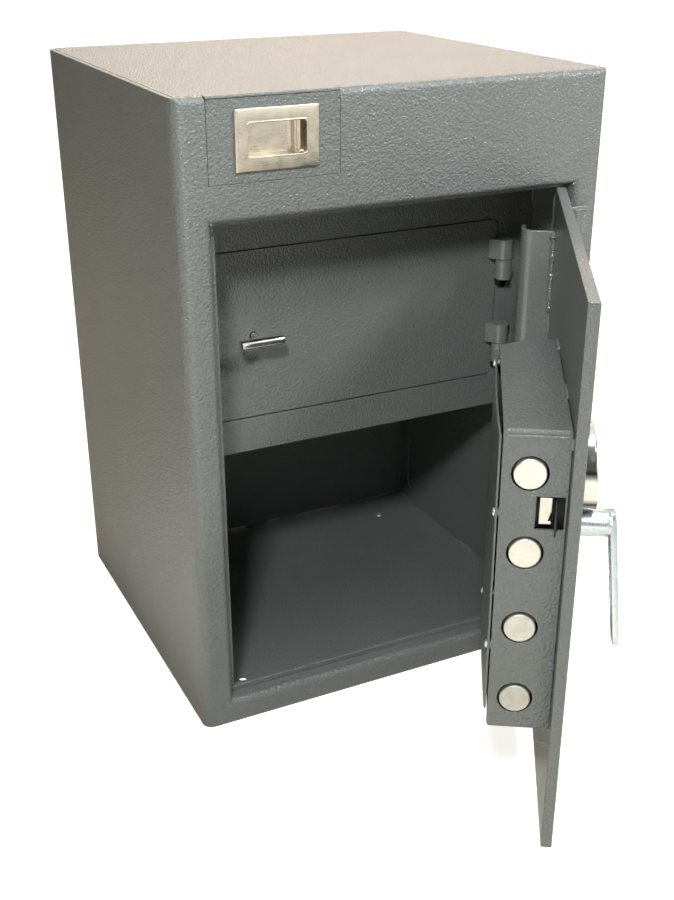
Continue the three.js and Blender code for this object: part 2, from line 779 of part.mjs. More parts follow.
// Lock: a case with a guide for its latch, and a thin blade that hangs out of the slot
function lockParts() {
  const latchY0 = doorBack + latchNear;
  const latchY1 = latchY0 + latchThick;
  const latchTop = latchBottom + latchHeight;
  const caseX = boxLeft + boxSheet + lockSetback;
  const caseEnd = caseX + lockLength;
  const lockCase = cut(
    box(caseX, caseEnd, doorBack + seam, doorBack + lockCaseDepth,
      slotBottom - lockMargin, slotTop + lockMargin),
    box(caseX - 1, caseEnd - 4, latchY0 - seam, latchY1 + seam, latchBottom - seam, latchTop + seam),
  );
  const latch = cut(
    box(boxLeft + 2, caseEnd - 4 - latchTravel / 4, latchY0, latchY1, latchBottom, latchTop),
    across(polygon([
      [latchY0 - 1, latchBottom + 3], [latchY0 + 3, latchBottom + 3],
      [latchY0 + 0.5, latchBottom + 12], [latchY0 - 1, latchBottom + 12],
    ]), boxLeft, boxLeft + 12),
  );
  const bladeY = latchY0 - 4;
  const blade = join(
    across(polygon([
      [bladeY - 1, slotBottom + 0.5], [bladeY + 1.6, slotBottom + 0.5], [bladeY + 1.4, slotTop - 2],
      [bladeY + 0.6, slotTop - 2],
    ]), boxLeft - 1.8, caseX - seam),
    across(polygon([
      [bladeY - 0.2, slotBottom - 6], [bladeY + 1, slotBottom - 6], [bladeY + 1.6, slotBottom + 1],
      [bladeY - 1, slotBottom + 1],
    ]), boxLeft - 1.8, boxLeft - seam),
  );
  return { lockCase: piece("lock_case", lockCase, zinc), latch: piece("lock_latch", latch, steel),
    blade: piece("lock_blade", blade, dark) };
}

function mainDoor() {
  const hinge = new THREE.Group();
  hinge.position.set(hingeX, hingeY, 0);
  hinge.rotation.z = THREE.MathUtils.degToRad(doorSwing);
  const shut = new THREE.Group();
  shut.position.set(-hingeX, -hingeY, 0);
  hinge.add(shut);
  shut.add(doorPlate(), hingeLeaf(), hookStrip(), boltBox(), boxCover());
  coverScrews().forEach(([x, z, foot], i) => {
    shut.add(coverPost("cover_post_" + (i + 1), x, z, foot), coverScrew("cover_screw_" + (i + 1), x, z));
  });
  boltHeights().forEach((z, i) => shut.add(bolt("bolt_" + (i + 1), z)));
  shut.add(carriage());
  const turning = new THREE.Group();
  turning.position.set(handleX, doorRecess, handleHeight);
  turning.add(handle(), crank());
  shut.add(turning, ...keypad());
  const { lockCase, latch, blade } = lockParts();
  shut.add(lockCase, latch, blade);
  return hinge;
}

// Inner compartment
function innerOutline(grow) {
  return roundedRect(innerDoorLeft - grow, innerDoorRight + grow, innerDoorBottom - grow, innerDoorTop + grow,
    innerCorner + Math.max(grow, -innerCorner + 1));
}

function bulkhead() {
  const front = bulkheadSetback;
  const back = front + bulkheadThick;
  const plate = box(-wallFace, wallFace, front, back, bulkheadBottom, bulkheadTop);
  const opening = facing(innerOutline(innerSeam), front - 1, back + 1, 4);
  const left = innerHingeX - reliefLeft;
  const right = innerHingeX + reliefRight;
  const reliefs = [innerHingeLow, innerHingeHigh].map((z) => facing(
    roundedRect(left, right, z - reliefBelow, z + 2 * innerHalf - 4, (right - left) / 2 - 0.1),
    front - 1, back + 1, 6));
  const notchLow = innerHingeLow + innerHalf;
  reliefs.push(facing(roundedRect(right - 6, right + notchReach, notchLow - 0.5, notchLow + notchHeight, 4),
    front - 1, back + 1, 4));
  return piece("bulkhead", cut(plate, opening, ...reliefs), paint);
}

function innerStop() {
  const front = bulkheadSetback + bulkheadThick + seam;
  const back = front + innerStopThick;
  return piece("inner_stop", cut(
    facing(innerOutline(innerStopReach + innerStopOver), front, back, 4),
    facing(innerOutline(-innerStopReach), front - 1, back + 1, 4),
  ), paint);
}

function compartmentFloor() {
  return piece("compartment_floor", box(-wallFace, wallFace, bulkheadSetback + bulkheadThick + seam,
    compartmentBackY + compartmentSheet, bulkheadBottom, bulkheadBottom + compartmentSheet), paint);
}

function roofPoint(y, lift) {
  const flatEnd = bulkheadSetback + bulkheadThick + roofFlat;
  const drop = Math.max(0, y - flatEnd) * roofDrop / (compartmentBackY + compartmentSheet - flatEnd);
  return [y, roofLevel - drop + lift];
}

function compartmentRoof() {
  const front = bulkheadSetback + bulkheadThick + seam;
  const bend = bulkheadSetback + bulkheadThick + roofFlat;
  const rear = compartmentBackY + compartmentSheet;
  return piece("compartment_roof", across(polygon([
    roofPoint(front, 0), roofPoint(bend, 0), roofPoint(rear, 0),
    roofPoint(rear, compartmentSheet), roofPoint(bend, compartmentSheet), roofPoint(front, compartmentSheet),
  ]), -wallFace, wallFace), paint);
}

function compartmentBack() {
  const rear = compartmentBackY + compartmentSheet;
  return piece("compartment_back", box(-wallFace, wallFace, compartmentBackY, rear,
    bulkheadBottom + compartmentSheet + seam, roofLevel - roofDrop - seam), paint);
}

// Lift-off hinge halves: the door half has an arm, the lower half a web through the relief
function innerHingeBase(name, low) {
  const back = bulkheadSetback + bulkheadThick;
  const web = box(innerHingeX + 1, innerHingeX + reliefRight - seam, innerHingeY, back,
    low + 4, low + innerHalf - 2);
  const form = join(
    rod("z", innerBarrel, low, low + innerHalf - runGap, innerHingeX, innerHingeY, 32),
    rod("z", innerPin, low + 2, low + innerHalf + 17, innerHingeX, innerHingeY, 16),
    web,
  );
  return piece(name, form, paint);
}

function innerHingeHalf(name, low) {
  const start = low + innerHalf + runGap;
  const left = innerHingeX - innerLeafReach;
  const back = bulkheadSetback - seam;
  const arm = upright(polygon([
    [left, back], [left, back - innerLeafThick], [innerHingeX - 8.6, innerHingeY - 5.5],
    [innerHingeX, innerHingeY], [innerHingeX, back],
  ]), start, start + innerHalf);
  const barrel = rod("z", innerBarrel, start, start + innerHalf, innerHingeX, innerHingeY, 32);
  const bore = rod("z", innerPin + runGap, start - 1, start + 18, innerHingeX, innerHingeY, 16);
  return piece(name, cut(join(arm, barrel), bore), paint);
}

function innerDoorPlate() {
  const back = bulkheadSetback + bulkheadThick;
  return piece("inner_door", cut(
    facing(innerOutline(0), bulkheadSetback, back, 4),
    rod("y", innerStemRadius + 0.5, bulkheadSetback - 2, back + 2, innerHandleX, innerHandleZ),
  ), paint);
}

function innerHandle() {
  const out = bulkheadSetback - innerHandleOut;
  const half = innerHandleLength / 2;
  const bar = new THREE.LatheGeometry([
    new THREE.Vector2(0, -half), new THREE.Vector2(innerHandleRadius - 1, -half),
    new THREE.Vector2(innerHandleRadius, -half + 1), new THREE.Vector2(innerHandleRadius, half - 1),
    new THREE.Vector2(innerHandleRadius - 1, half), new THREE.Vector2(0, half),
  ], 24);
  bar.rotateZ(Math.PI / 2).translate(innerHandleX, out, innerHandleZ);
  const stemEnd = bulkheadSetback + bulkheadThick + 9;
  const stem = rod("y", innerStemRadius, out, stemEnd, innerHandleX, innerHandleZ);
  return piece("inner_handle", join(bar, stem), chrome);
}

function innerCam() {
  const front = bulkheadSetback + bulkheadThick + innerStopThick + 1.3;
  const half = camWidth / 2;
  const shape = roundedRect(innerHandleX - half, innerHandleX + half,
    innerHandleZ - camReach, innerHandleZ + half, 6);
  return piece("inner_cam", cut(
    facing(shape, front, front + camThick, 4),
    rod("y", innerStemRadius + seam, front - 1, front + camThick + 1, innerHandleX, innerHandleZ),
  ), zinc);
}

// Deposit drawer
function pullHole(y0, y1) {
  const halfWidth = pullCupWidth / 2 + pullHoleGap;
  const halfHeight = pullCupHeight / 2 + pullHoleGap;
  return facing(roundedRect(pullX - halfWidth, pullX + halfWidth,
    pullZ - halfHeight, pullZ + halfHeight, 5), y0, y1, 4);
}

function drawerFront() {
  const panel = box(drawerLeft, drawerRight, 0, drawerPanel, drawerBottom, drawerTop);
  return piece("drawer_front", cut(panel, pullHole(-1, drawerPanel + 1)), paint);
}

// A mitred frame that slopes up to its front, with a cup let into the drawer front
function flushPull() {
  const front = -pullProud - seam;
  const corners = (inset, y) => {
    const x = pullWidth / 2 - inset;
    const z = pullHeight / 2 - inset;
    return [[-x, y, -z], [x, y, -z], [x, y, z], [-x, y, z]];
  };
  const rim = new THREE.BufferGeometry();
  const points = [...corners(0, -seam), ...corners(pullBevel, front)].flat();
  rim.setAttribute("position", new THREE.BufferAttribute(new Float32Array(points), 3));
  const faces = [0, 2, 1, 0, 3, 2, 4, 5, 6, 4, 6, 7];
  for (let i = 0; i < 4; i += 1) {
    const next = (i + 1) % 4;
    faces.push(i, next, 4 + next, i, 4 + next, 4 + i);
  }
  rim.setIndex(faces);
  const cupX = pullCupWidth / 2;
  const cupZ = pullCupHeight / 2;
  const wall = pullSheet;
  const outer = facing(roundedRect(-cupX - wall, cupX + wall, -cupZ - wall, cupZ + wall, 4),
    -1, pullCupDepth + wall, 4);
  const hollow = facing(roundedRect(-cupX, cupX, -cupZ, cupZ, 3), -20, pullCupDepth, 4);
  const mesh = piece("drawer_pull", cut(join(orient(rim), outer), hollow), satin);
  mesh.position.set(pullX, 0, pullZ);
  return mesh;
}

// Turns a closed mesh right way out if its volume comes out negative
function orient(geometry) {
  const form = solid(geometry);
  if (form.volume() > 0) return form;
  const index = geometry.index.array;
  for (let i = 0; i < index.length; i += 3) [index[i], index[i + 1]] = [index[i + 1], index[i]];
  return solid(geometry);
}

function tray() {
  const outer = across(polygon([
    [trayFront, trayHigh], [trayBack, trayBottom], [trayBack, trayTop], [trayFront, trayTop],
  ]), trayLeft, trayRight);
  const inner = across(polygon([
    [trayFront + traySheet, trayHigh + traySheet + 1], [trayBack + 1, trayBottom + traySheet],
    [trayBack + 1, trayTop + 1], [trayFront + traySheet, trayTop + 1],
  ]), trayLeft + traySheet, trayRight - traySheet);
  const front = box(trayLeft, trayRight, trayFront, trayFront + traySheet, drawerBottom + 6, trayTop);
  const mouth = pullHole(0, pullCupDepth + 6);
  const railReach = trayGap - 2 * seam;
  const rails = [[trayLeft - railReach, trayLeft + 1], [trayRight - 1, trayRight + railReach]].map(([x0, x1]) =>
    box(x0, x1, trayFront + 6, trayBack - 5, runnerZ + seam, runnerZ + seam + railThick));
  return piece("drawer_tray", cut(cut(outer, inner).add(solid(front)), mouth)
    .add(solid(rails[0])).add(solid(rails[1])), zinc);
}

function drawerHousing() {
  const rear = housingBack + housingEar;
  const outer = box(housingLeft, housingRight, housingFront, rear, housingBottom, housingTop);
  const inner = box(housingLeft + housingSheet, housingRight - housingSheet, housingFront - 1, rear + 3,
    housingBottom + housingSheet, housingTop - housingSheet);
  const pinHole = rod("x", flapPin + seam, housingLeft - 1, housingRight + 1, flapY, flapZ, 16);
  const rearCut = box(housingLeft - 1, housingRight + 1, housingBack - 8, rear + 3,
    housingBottom - 1, flapZ - 8);
  return piece("drawer_housing", cut(outer, inner, pinHole, rearCut), zinc);
}

function runner(name, x0, x1) {
  return piece(name, box(x0, x1, housingFront + 8, housingBack - 12, runnerZ - runnerHeight, runnerZ), zinc);
}

function flap() {
  const left = housingLeft + housingSheet + flapGap;
  const right = housingRight - housingSheet - flapGap;
  const plate = box(left, right, -flapThick / 2, flapThick / 2, -flapLength, -1);
  const barrel = rod("x", flapBarrel, left, right, 0, 0, 16);
  const bore = rod("x", flapPin + runGap, housingLeft, housingRight, 0, 0, 16);
  const mesh = piece("anti_fish_flap", cut(join(plate, barrel), bore), zinc);
  mesh.position.set(0, flapY, flapZ);
  mesh.rotation.x = THREE.MathUtils.degToRad(flapRest);
  return mesh;
}

function flapPinPart() {
  return piece("flap_pin", rod("x", flapPin, housingLeft + 0.2, housingRight - 0.2, flapY, flapZ, 16), steel);
}

const safe = new THREE.Group();
safe.name = "drop_safe";
safe.position.y = -bodyDepth / 2;
safe.add(
  frontFrame(), sideSheet("side_right", false), sideSheet("side_left", true), topPlate(), bottomPlate(),
  backPlate(), stopLip(), wallStrip(), hingeBody(), hingePin(), mainDoor(),
  bulkhead(), innerStop(), compartmentFloor(), compartmentBack(), compartmentRoof(),
  innerHingeBase("inner_hinge_base_1", innerHingeLow), innerHingeBase("inner_hinge_base_2", innerHingeHigh),
  innerHingeHalf("inner_hinge_half_1", innerHingeLow), innerHingeHalf("inner_hinge_half_2", innerHingeHigh),
  innerDoorPlate(), innerHandle(), innerCam(),
  drawerFront(), flushPull(), tray(), drawerHousing(),
  runner("runner_left", housingLeft + housingSheet + seam, trayLeft - seam),
  runner("runner_right", trayRight + seam, housingRight - housingSheet - seam),
  flap(), flapPinPart(),
);

export default safe;
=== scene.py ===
import json
import math
import bmesh
import bpy
import numpy as np
from mathutils import Matrix, Vector

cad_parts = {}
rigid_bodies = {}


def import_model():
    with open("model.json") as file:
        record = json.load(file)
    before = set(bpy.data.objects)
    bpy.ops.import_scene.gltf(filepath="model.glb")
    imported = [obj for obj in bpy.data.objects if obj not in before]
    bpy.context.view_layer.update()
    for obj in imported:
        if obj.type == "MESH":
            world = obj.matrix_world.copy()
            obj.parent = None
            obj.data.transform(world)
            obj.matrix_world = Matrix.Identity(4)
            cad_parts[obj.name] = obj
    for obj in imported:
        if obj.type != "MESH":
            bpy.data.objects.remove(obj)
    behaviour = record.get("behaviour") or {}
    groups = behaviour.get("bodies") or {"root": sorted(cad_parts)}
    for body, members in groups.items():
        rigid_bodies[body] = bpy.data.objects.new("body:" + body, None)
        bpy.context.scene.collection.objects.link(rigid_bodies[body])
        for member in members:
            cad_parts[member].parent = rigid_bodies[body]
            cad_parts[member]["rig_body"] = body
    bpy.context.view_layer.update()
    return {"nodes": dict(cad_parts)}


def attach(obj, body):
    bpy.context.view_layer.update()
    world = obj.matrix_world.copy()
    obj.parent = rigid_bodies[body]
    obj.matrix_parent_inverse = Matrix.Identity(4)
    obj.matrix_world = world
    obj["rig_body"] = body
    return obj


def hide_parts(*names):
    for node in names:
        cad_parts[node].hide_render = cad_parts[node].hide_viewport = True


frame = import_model()
nodes = frame["nodes"]
scene = bpy.context.scene
scene.view_settings.view_transform = "Standard"
print("frame loaded:", len(nodes), "nodes")

# Shapes below are in millimetres, with y counted back from the front face of the body
body = {"front": -235.0}
door = {"hingeX": 214.0, "hingeY": -7.0, "swing": 58.0}


def bodyPlace(points):
    # millimetres from the front face, to metres in the shared frame
    return (np.asarray(points, float).reshape(-1, 3) + (0, body["front"], 0)) / 1000


def doorPlace(points):
    # the same for a piece drawn on the shut door: turned about the hinge line by the swing
    points = np.asarray(points, float).reshape(-1, 3)
    c, s = math.cos(math.radians(door["swing"])), math.sin(math.radians(door["swing"]))
    x, y = points[:, 0] - door["hingeX"], points[:, 1] - door["hingeY"]
    turned = np.stack([door["hingeX"] + c * x - s * y, door["hingeY"] + s * x + c * y, points[:, 2]], 1)
    return bodyPlace(turned)


# Camera: turned right of straight ahead and tipped down, from the front left
cameraView = {"place": (-0.6105, -1.3271, 0.8749), "heading": 25.89, "down": 24.467, "roll": -0.126,
              "focal": 1206.26, "longSide": 900, "sensor": 36}  # focal and longSide in pixels
cameraData = bpy.data.cameras.new("camera")
cameraData.sensor_width = cameraView["sensor"]
cameraData.lens = cameraView["focal"] * cameraView["sensor"] / cameraView["longSide"]
cameraData.clip_start = 0.02
camera = bpy.data.objects.new("camera", cameraData)
camera.matrix_world = (
    Matrix.Translation(cameraView["place"])
    @ Matrix.Rotation(math.radians(-cameraView["heading"]), 4, "Z")
    @ Matrix.Rotation(math.radians(90 - cameraView["down"]), 4, "X")
    @ Matrix.Rotation(math.radians(cameraView["roll"]), 4, "Z")
)
scene.collection.objects.link(camera)
scene.camera = camera

# Lights: key front left, window front right, soft light in front and above, warm ceiling behind
studio = {"key": 50.0, "ceiling": 24.0, "front": 5.0, "window": 46.0, "above": 26.0,
          "sky": 0.21, "skyLeft": 0.05, "shine": 1.0, "shineLeft": 0.2,
          "warm": (1.0, 0.85, 0.72), "cool": (0.97, 1.0, 1.0)}


def makeLight(name, place, target, size, power, tint):
    data = bpy.data.lights.new(name, "AREA")
    data.shape = "RECTANGLE"
    data.size, data.size_y = size
    data.energy = power
    data.color = tint
    light = bpy.data.objects.new(name, data)
    aim = Vector(target) - Vector(place)
    light.matrix_world = Matrix.Translation(place) @ aim.to_track_quat("-Z", "Y").to_matrix().to_4x4()
    scene.collection.objects.link(light)


makeLight("keyLight", (-1.15, -2.0, 2.1), (0, -0.15, 0.4), (0.28, 0.28), studio["key"], studio["cool"])
makeLight("ceilingLight", (1.5, 3.0, 2.3), (0, 0, 0.7), (2.2, 0.35), studio["ceiling"], studio["warm"])
makeLight("frontLight", (0.9, -2.6, 0.9), (0, -0.2, 0.4), (1.6, 1.0), studio["front"], studio["cool"])
makeLight("windowLight", (1.45, -1.75, 2.35), (0, -0.1, 0.5), (0.5, 0.4), studio["window"], studio["cool"])
makeLight("aboveLight", (0.3, -0.7, 3.0), (0.1, -0.3, 0.5), (1.0, 0.8), studio["above"], studio["cool"])


def seenDirectly(tree):
    # 1 for rays from the camera, from a reflection or through glass, 0 for light that bounces about
    path = tree.nodes.new("ShaderNodeLightPath")
    most = path.outputs["Is Camera Ray"]
    for name in ("Is Glossy Ray", "Is Transmission Ray"):
        node = tree.nodes.new("ShaderNodeMath")
        node.operation = "MAXIMUM"
        tree.links.new(most, node.inputs[0])
        tree.links.new(path.outputs[name], node.inputs[1])
        most = node.outputs[0]
    return path.outputs["Is Camera Ray"], most


# World: white to the camera, and a sky that is cool in front and warm behind for all else
world = bpy.data.worlds.new("studioWorld")
scene.world = world
world.use_nodes = True
skyTree = world.node_tree
skyTree.nodes.clear()
cameraRay, seenRay = seenDirectly(skyTree)
skyDirection = skyTree.nodes.new("ShaderNodeSeparateXYZ")
skyTree.links.new(skyTree.nodes.new("ShaderNodeTexCoord").outputs["Generated"], skyDirection.inputs[0])
skyTone = skyTree.nodes.new("ShaderNodeMix")
skyTone.data_type = "RGBA"
skyTone.inputs[6].default_value = (*studio["cool"], 1)  # inputs 6 and 7 are the two colours
skyTone.inputs[7].default_value = (*studio["warm"], 1)


def skyRamp(axis, fromLow, fromHigh, low, high):
    # a value that runs from low to high as the direction's part along one axis grows
    node = skyTree.nodes.new("ShaderNodeMapRange")
    for name, number in (("From Min", fromLow), ("From Max", fromHigh), ("To Min", low), ("To Max", high)):
        node.inputs[name].default_value = number
    skyTree.links.new(skyDirection.outputs[axis], node.inputs["Value"])
    return node.outputs["Result"]


skyTree.links.new(skyRamp("Y", -0.3, 0.5, 0.0, 1.0), skyTone.inputs[0])
skyOut = skyTree.nodes.new("ShaderNodeOutputWorld")
backgrounds = []
for name in ("sky", "shine", "white"):
    background = skyTree.nodes.new("ShaderNodeBackground")
    background.inputs["Color"].default_value = (1, 1, 1, 1)
    background.inputs["Strength"].default_value = studio.get(name, 1.0)
    if name != "white":
        skyTree.links.new(skyTone.outputs[2], background.inputs["Color"])
        strength = skyRamp("X", -0.5, 0.25, studio[name + "Left"], studio[name])  # dimmer on the left
        skyTree.links.new(strength, background.inputs["Strength"])
    backgrounds.append(background.outputs[0])
for factor, second in ((seenRay, backgrounds[1]), (cameraRay, backgrounds[2])):
    skyMix = skyTree.nodes.new("ShaderNodeMixShader")
    skyTree.links.new(factor, skyMix.inputs[0])
    skyTree.links.new(backgrounds[0], skyMix.inputs[1])
    skyTree.links.new(second, skyMix.inputs[2])
    backgrounds[0] = skyMix.outputs[0]
skyTree.links.new(backgrounds[0], skyOut.inputs[0])


class Finish:
    # one procedural material that reads Object coordinates

    def __init__(self, name, colour, roughness, metallic=0.0):
        self.material = bpy.data.materials.new(name)
        self.material.use_nodes = True
        self.nodes = self.material.node_tree.nodes
        self.links = self.material.node_tree.links
        self.shader = self.nodes["Principled BSDF"]
        self.shader.inputs["Base Color"].default_value = (*colour, 1)
        self.shader.inputs["Roughness"].default_value = roughness
        self.shader.inputs["Metallic"].default_value = metallic
        self.place = self.nodes.new("ShaderNodeTexCoord").outputs["Object"]

    def feed(self, socket, value):
        if isinstance(value, tuple):
            socket.default_value = (*value, 1) if len(socket.default_value) == 4 else value
        elif isinstance(value, (int, float)):
            socket.default_value = value
        else:
            self.links.new(value, socket)

    def mapped(self, vector, scale=(1, 1, 1), turn=(0, 0, 0)):
        node = self.nodes.new("ShaderNodeMapping")
        node.inputs["Scale"].default_value = scale
        node.inputs["Rotation"].default_value = turn
        self.links.new(vector, node.inputs["Vector"])
        return node.outputs["Vector"]

    def attribute(self, name):
        node = self.nodes.new("ShaderNodeAttribute")
        node.attribute_name = name
        return node.outputs["Fac"]

    def noise(self, size, detail=2.0, vector=None, rough=0.5, warp=0.0):
        node = self.nodes.new("ShaderNodeTexNoise")
        node.inputs["Scale"].default_value = 1 / size
        node.inputs["Detail"].default_value = detail
        node.inputs["Roughness"].default_value = rough
        node.inputs["Distortion"].default_value = warp
        self.links.new(vector or self.place, node.inputs["Vector"])
        return node.outputs["Fac"]

    def blend(self, factor, first, second):
        node = self.nodes.new("ShaderNodeMix")
        node.data_type = "RGBA"
        for socket, value in zip((node.inputs[0], node.inputs[6], node.inputs[7]), (factor, first, second)):
            self.feed(socket, value)
        return node.outputs[2]

    def span(self, value, fromLow, fromHigh, low=0.0, high=1.0):
        node = self.nodes.new("ShaderNodeMapRange")
        limits = (("From Min", fromLow), ("From Max", fromHigh), ("To Min", low), ("To Max", high))
        for name, number in limits:
            node.inputs[name].default_value = number
        self.links.new(value, node.inputs["Value"])
        return node.outputs["Result"]

    def sum(self, operation, first, second):
        node = self.nodes.new("ShaderNodeMath")
        node.operation = operation
        self.feed(node.inputs[0], first)
        self.feed(node.inputs[1], second)
        return node.outputs[0]

    def bump(self, value, height, strength=1.0, under=None):
        node = self.nodes.new("ShaderNodeBump")
        node.inputs["Distance"].default_value = height
        node.inputs["Strength"].default_value = strength
        self.links.new(value, node.inputs["Height"])
        if under is not None:
            self.links.new(under, node.inputs["Normal"])
        return node.outputs["Normal"]

    def set(self, socket, value):
        self.links.new(value, self.shader.inputs[socket])


def tinted(colour, factor):
    return tuple(c * factor for c in colour)


# Textured grey enamel: orange peel in cells about 3 mm across, a finer grain on it, faint clouds of tone
paint = {"tone": (0.165, 0.180, 0.174), "rough": 0.36, "peel": 0.0026, "peelHeight": 0.0015, "grain": 0.0010,
         "coat": 0.6, "coatRough": 0.16}


def greyEnamel(name, tone=paint["tone"], rough=paint["rough"], peelHeight=paint["peelHeight"],
               coatRough=paint["coatRough"]):
    finish = Finish(name, tone, rough)
    finish.shader.inputs["Specular IOR Level"].default_value = 0.4
    finish.shader.inputs["Coat Weight"].default_value = paint["coat"]
    finish.shader.inputs["Coat Roughness"].default_value = coatRough
    peel = finish.noise(paint["peel"], 1.2, warp=0.3)
    grain = finish.noise(paint["grain"], 1.0)
    cloud = finish.noise(0.09, 3.0)
    tones = finish.blend(finish.span(cloud, 0.3, 0.7), tinted(tone, 0.94), tinted(tone, 1.06))
    # painted shade: the low spots of the orange peel are darker, for the shade in its hollows
    tones = finish.blend(finish.span(peel, 0.3, 0.6), tinted(tone, 0.90), tones)
    finish.set("Base Color", tones)
    finish.set("Roughness", finish.span(grain, 0.3, 0.7, rough - 0.08, rough + 0.08))
    normal = finish.bump(grain, peelHeight * 0.12, 1.0, finish.bump(peel, peelHeight))
    finish.set("Normal", normal)
    finish.set("Coat Normal", normal)
    return finish.material


# Metal with fine brush lines along one axis, in the frame's own directions or turned with the door
def brushed(name, tone, rough, along="x", turn=0.0, line=0.0005, stretch=60, streak=0.00003, cloud=0.82):
    finish = Finish(name, tone, rough, 1.0)
    scale = [1 / line] * 3
    scale["xyz".index(along)] = 1 / (line * stretch)
    level = finish.mapped(finish.place, turn=(0, 0, -math.radians(turn)))
    lines = finish.noise(1.0, 2.0, finish.mapped(level, scale))
    smudge = finish.noise(0.014, 3.0)
    finish.set("Base Color", finish.blend(finish.span(smudge, 0.3, 0.75), tinted(tone, cloud), tone))
    finish.set("Roughness", finish.sum("ADD", finish.span(lines, 0.3, 0.7, rough - 0.07, rough + 0.07),
                                       finish.span(smudge, 0.3, 0.7, -0.05, 0.06)))
    finish.set("Normal", finish.bump(lines, streak))
    return finish.material


# Turned bolt ends: rings about the axis, a worn cream bloom and small dents
turned = {"tone": (0.74, 0.73, 0.66), "worn": (0.95, 0.94, 0.87), "rough": 0.42, "wobble": 0.0012,
          "rings": 9000.0}


def turnedSteel(name, shade=1.0):
    # shade scales both colours down: painted shade, one step per bolt
    tone, worn = tinted(turned["tone"], shade), tinted(turned["worn"], shade)
    finish = Finish(name, tone, turned["rough"], 0.85)
    ring = finish.attribute("ring")  # distance from the bolt's axis, in metres
    wobble = finish.sum("MULTIPLY", finish.noise(0.006, 2.0), turned["wobble"])
    phase = finish.sum("MULTIPLY", finish.sum("ADD", ring, wobble), turned["rings"])
    wave = finish.sum("SINE", phase, 0.0)
    wear = finish.span(finish.noise(0.011, 4.0, rough=0.65), 0.38, 0.66)
    finish.set("Base Color", finish.blend(wear, tone, worn))
    finish.set("Roughness", finish.span(wear, 0.0, 1.0, 0.30, 0.55))
    finish.set("Normal", finish.bump(finish.noise(0.0025, 3.0), 0.00006, 1.0, finish.bump(wave, 0.000012)))
    return finish.material


# Plated wedge of the keypad: painted reflection, light and dark bands in its colour by height, listed from
# the lowest point to the highest
wedgeReflectionBands = {"low": 0.356, "high": 0.439, "tone": (0.90, 0.88, 0.84), "rough": 0.14,
              "stops": ((0.02, 0.30), (0.10, 0.42), (0.18, 0.20), (0.22, 0.16), (0.29, 0.95),
                        (0.50, 0.95), (0.57, 0.30), (0.62, 0.07), (0.67, 0.30), (0.78, 0.16),
                        (0.87, 0.40), (0.90, 0.97), (0.99, 0.97))}


def reflectionBandedChrome(name):
    finish = Finish(name, wedgeReflectionBands["tone"], wedgeReflectionBands["rough"], 1.0)
    parts = finish.nodes.new("ShaderNodeSeparateXYZ")
    finish.links.new(finish.place, parts.inputs[0])
    ramp = finish.nodes.new("ShaderNodeValToRGB")
    # the colour follows the bands by height: painted reflection
    finish.links.new(finish.span(parts.outputs["Z"], wedgeReflectionBands["low"], wedgeReflectionBands["high"]), ramp.inputs[0])
    stops = ramp.color_ramp.elements
    for index, (place, shade) in enumerate(wedgeReflectionBands["stops"]):
        stop = stops[index] if index < 2 else stops.new(place)
        stop.position = place
        stop.color = (*tinted(wedgeReflectionBands["tone"], shade), 1)
    finish.set("Base Color", ramp.outputs["Color"])
    finish.set("Roughness", finish.span(finish.noise(0.006, 3.0), 0.3, 0.7, 0.10, 0.20))
    finish.set("Normal", finish.bump(finish.noise(0.004, 2.0), 0.00003))
    return finish.material


def plainGrain(name, tone, rough, grain=0.0012, height=0.00008, metallic=0.0):
    finish = Finish(name, tone, rough, metallic)
    fine = finish.noise(grain, 2.0)
    broad = finish.noise(0.02, 2.0)
    finish.set("Base Color", finish.blend(broad, tinted(tone, 0.75), tinted(tone, 1.25)))
    finish.set("Roughness", finish.span(broad, 0.3, 0.7, rough - 0.07, rough + 0.07))
    finish.set("Normal", finish.bump(fine, height))
    return finish.material


finishes = {
    "grey_paint": greyEnamel("greyEnamel"),
    "screw_steel": brushed("screwSteel", (0.78, 0.78, 0.76), 0.26),
    "plated_steel": brushed("platedSteel", (0.58, 0.57, 0.53), 0.40, "z"),
    "chrome": brushed("chromePlate", (0.86, 0.85, 0.83), 0.13, "z", streak=0.000006),
    "satin_silver": brushed("satinSilver", (0.74, 0.83, 0.87), 0.26, "z", door["swing"]),
    "brushed_stainless": brushed("brushedStainless", (0.74, 0.67, 0.55), 0.30, "x", cloud=0.86),
    "key_rubber": plainGrain("keyRubber", (0.022, 0.022, 0.024), 0.62),
    "black_plastic": plainGrain("blackPlastic", (0.012, 0.012, 0.012), 0.42),
}
latchSteel = brushed("latchSteel", (0.80, 0.77, 0.70), 0.36, "z", door["swing"], line=0.0009)
wedgeReflectionChrome = reflectionBandedChrome("wedgeReflectionChrome")
# painted shade: the lower bolt ends are darker, for the darker surroundings they reflect
boltPaintedShades = (0.62, 0.74, 0.92, 1.0)  # from the lowest bolt up
boltShadedFinish = [turnedSteel(f"boltEnd{index + 1}", shade) for index, shade in enumerate(boltPaintedShades)]
# near-black lock case: painted shade for the dark recess behind the latch slot, though the part is plated
# steel
shadeDarkCase = plainGrain("shadeDarkCase", (0.030, 0.030, 0.031), 0.5, metallic=0.6)
# glossier enamel whose colour is 1.15 times the body paint: real gloss with a painted highlight, for welds,
# hook strip and inner hinges
beadHighlightEnamel = greyEnamel("beadHighlightEnamel", tinted(paint["tone"], 1.15), 0.26, 0.0002, 0.10)
print("finishes made")


# Mesh helpers
creaseAngle = 38  # degrees between two faces, past which their edge is sharp


def gridFaces(rows, columns, closed=True):
    # quads between neighbouring rows and columns of a point grid, the columns closed into a ring
    i = np.arange(rows - 1)[:, None]
    j = np.arange(columns if closed else columns - 1)[None, :]
    near, far = i * columns + j, i * columns + (j + 1) % columns
    return np.stack([near, far, far + columns, near + columns], -1).reshape(-1, 4)


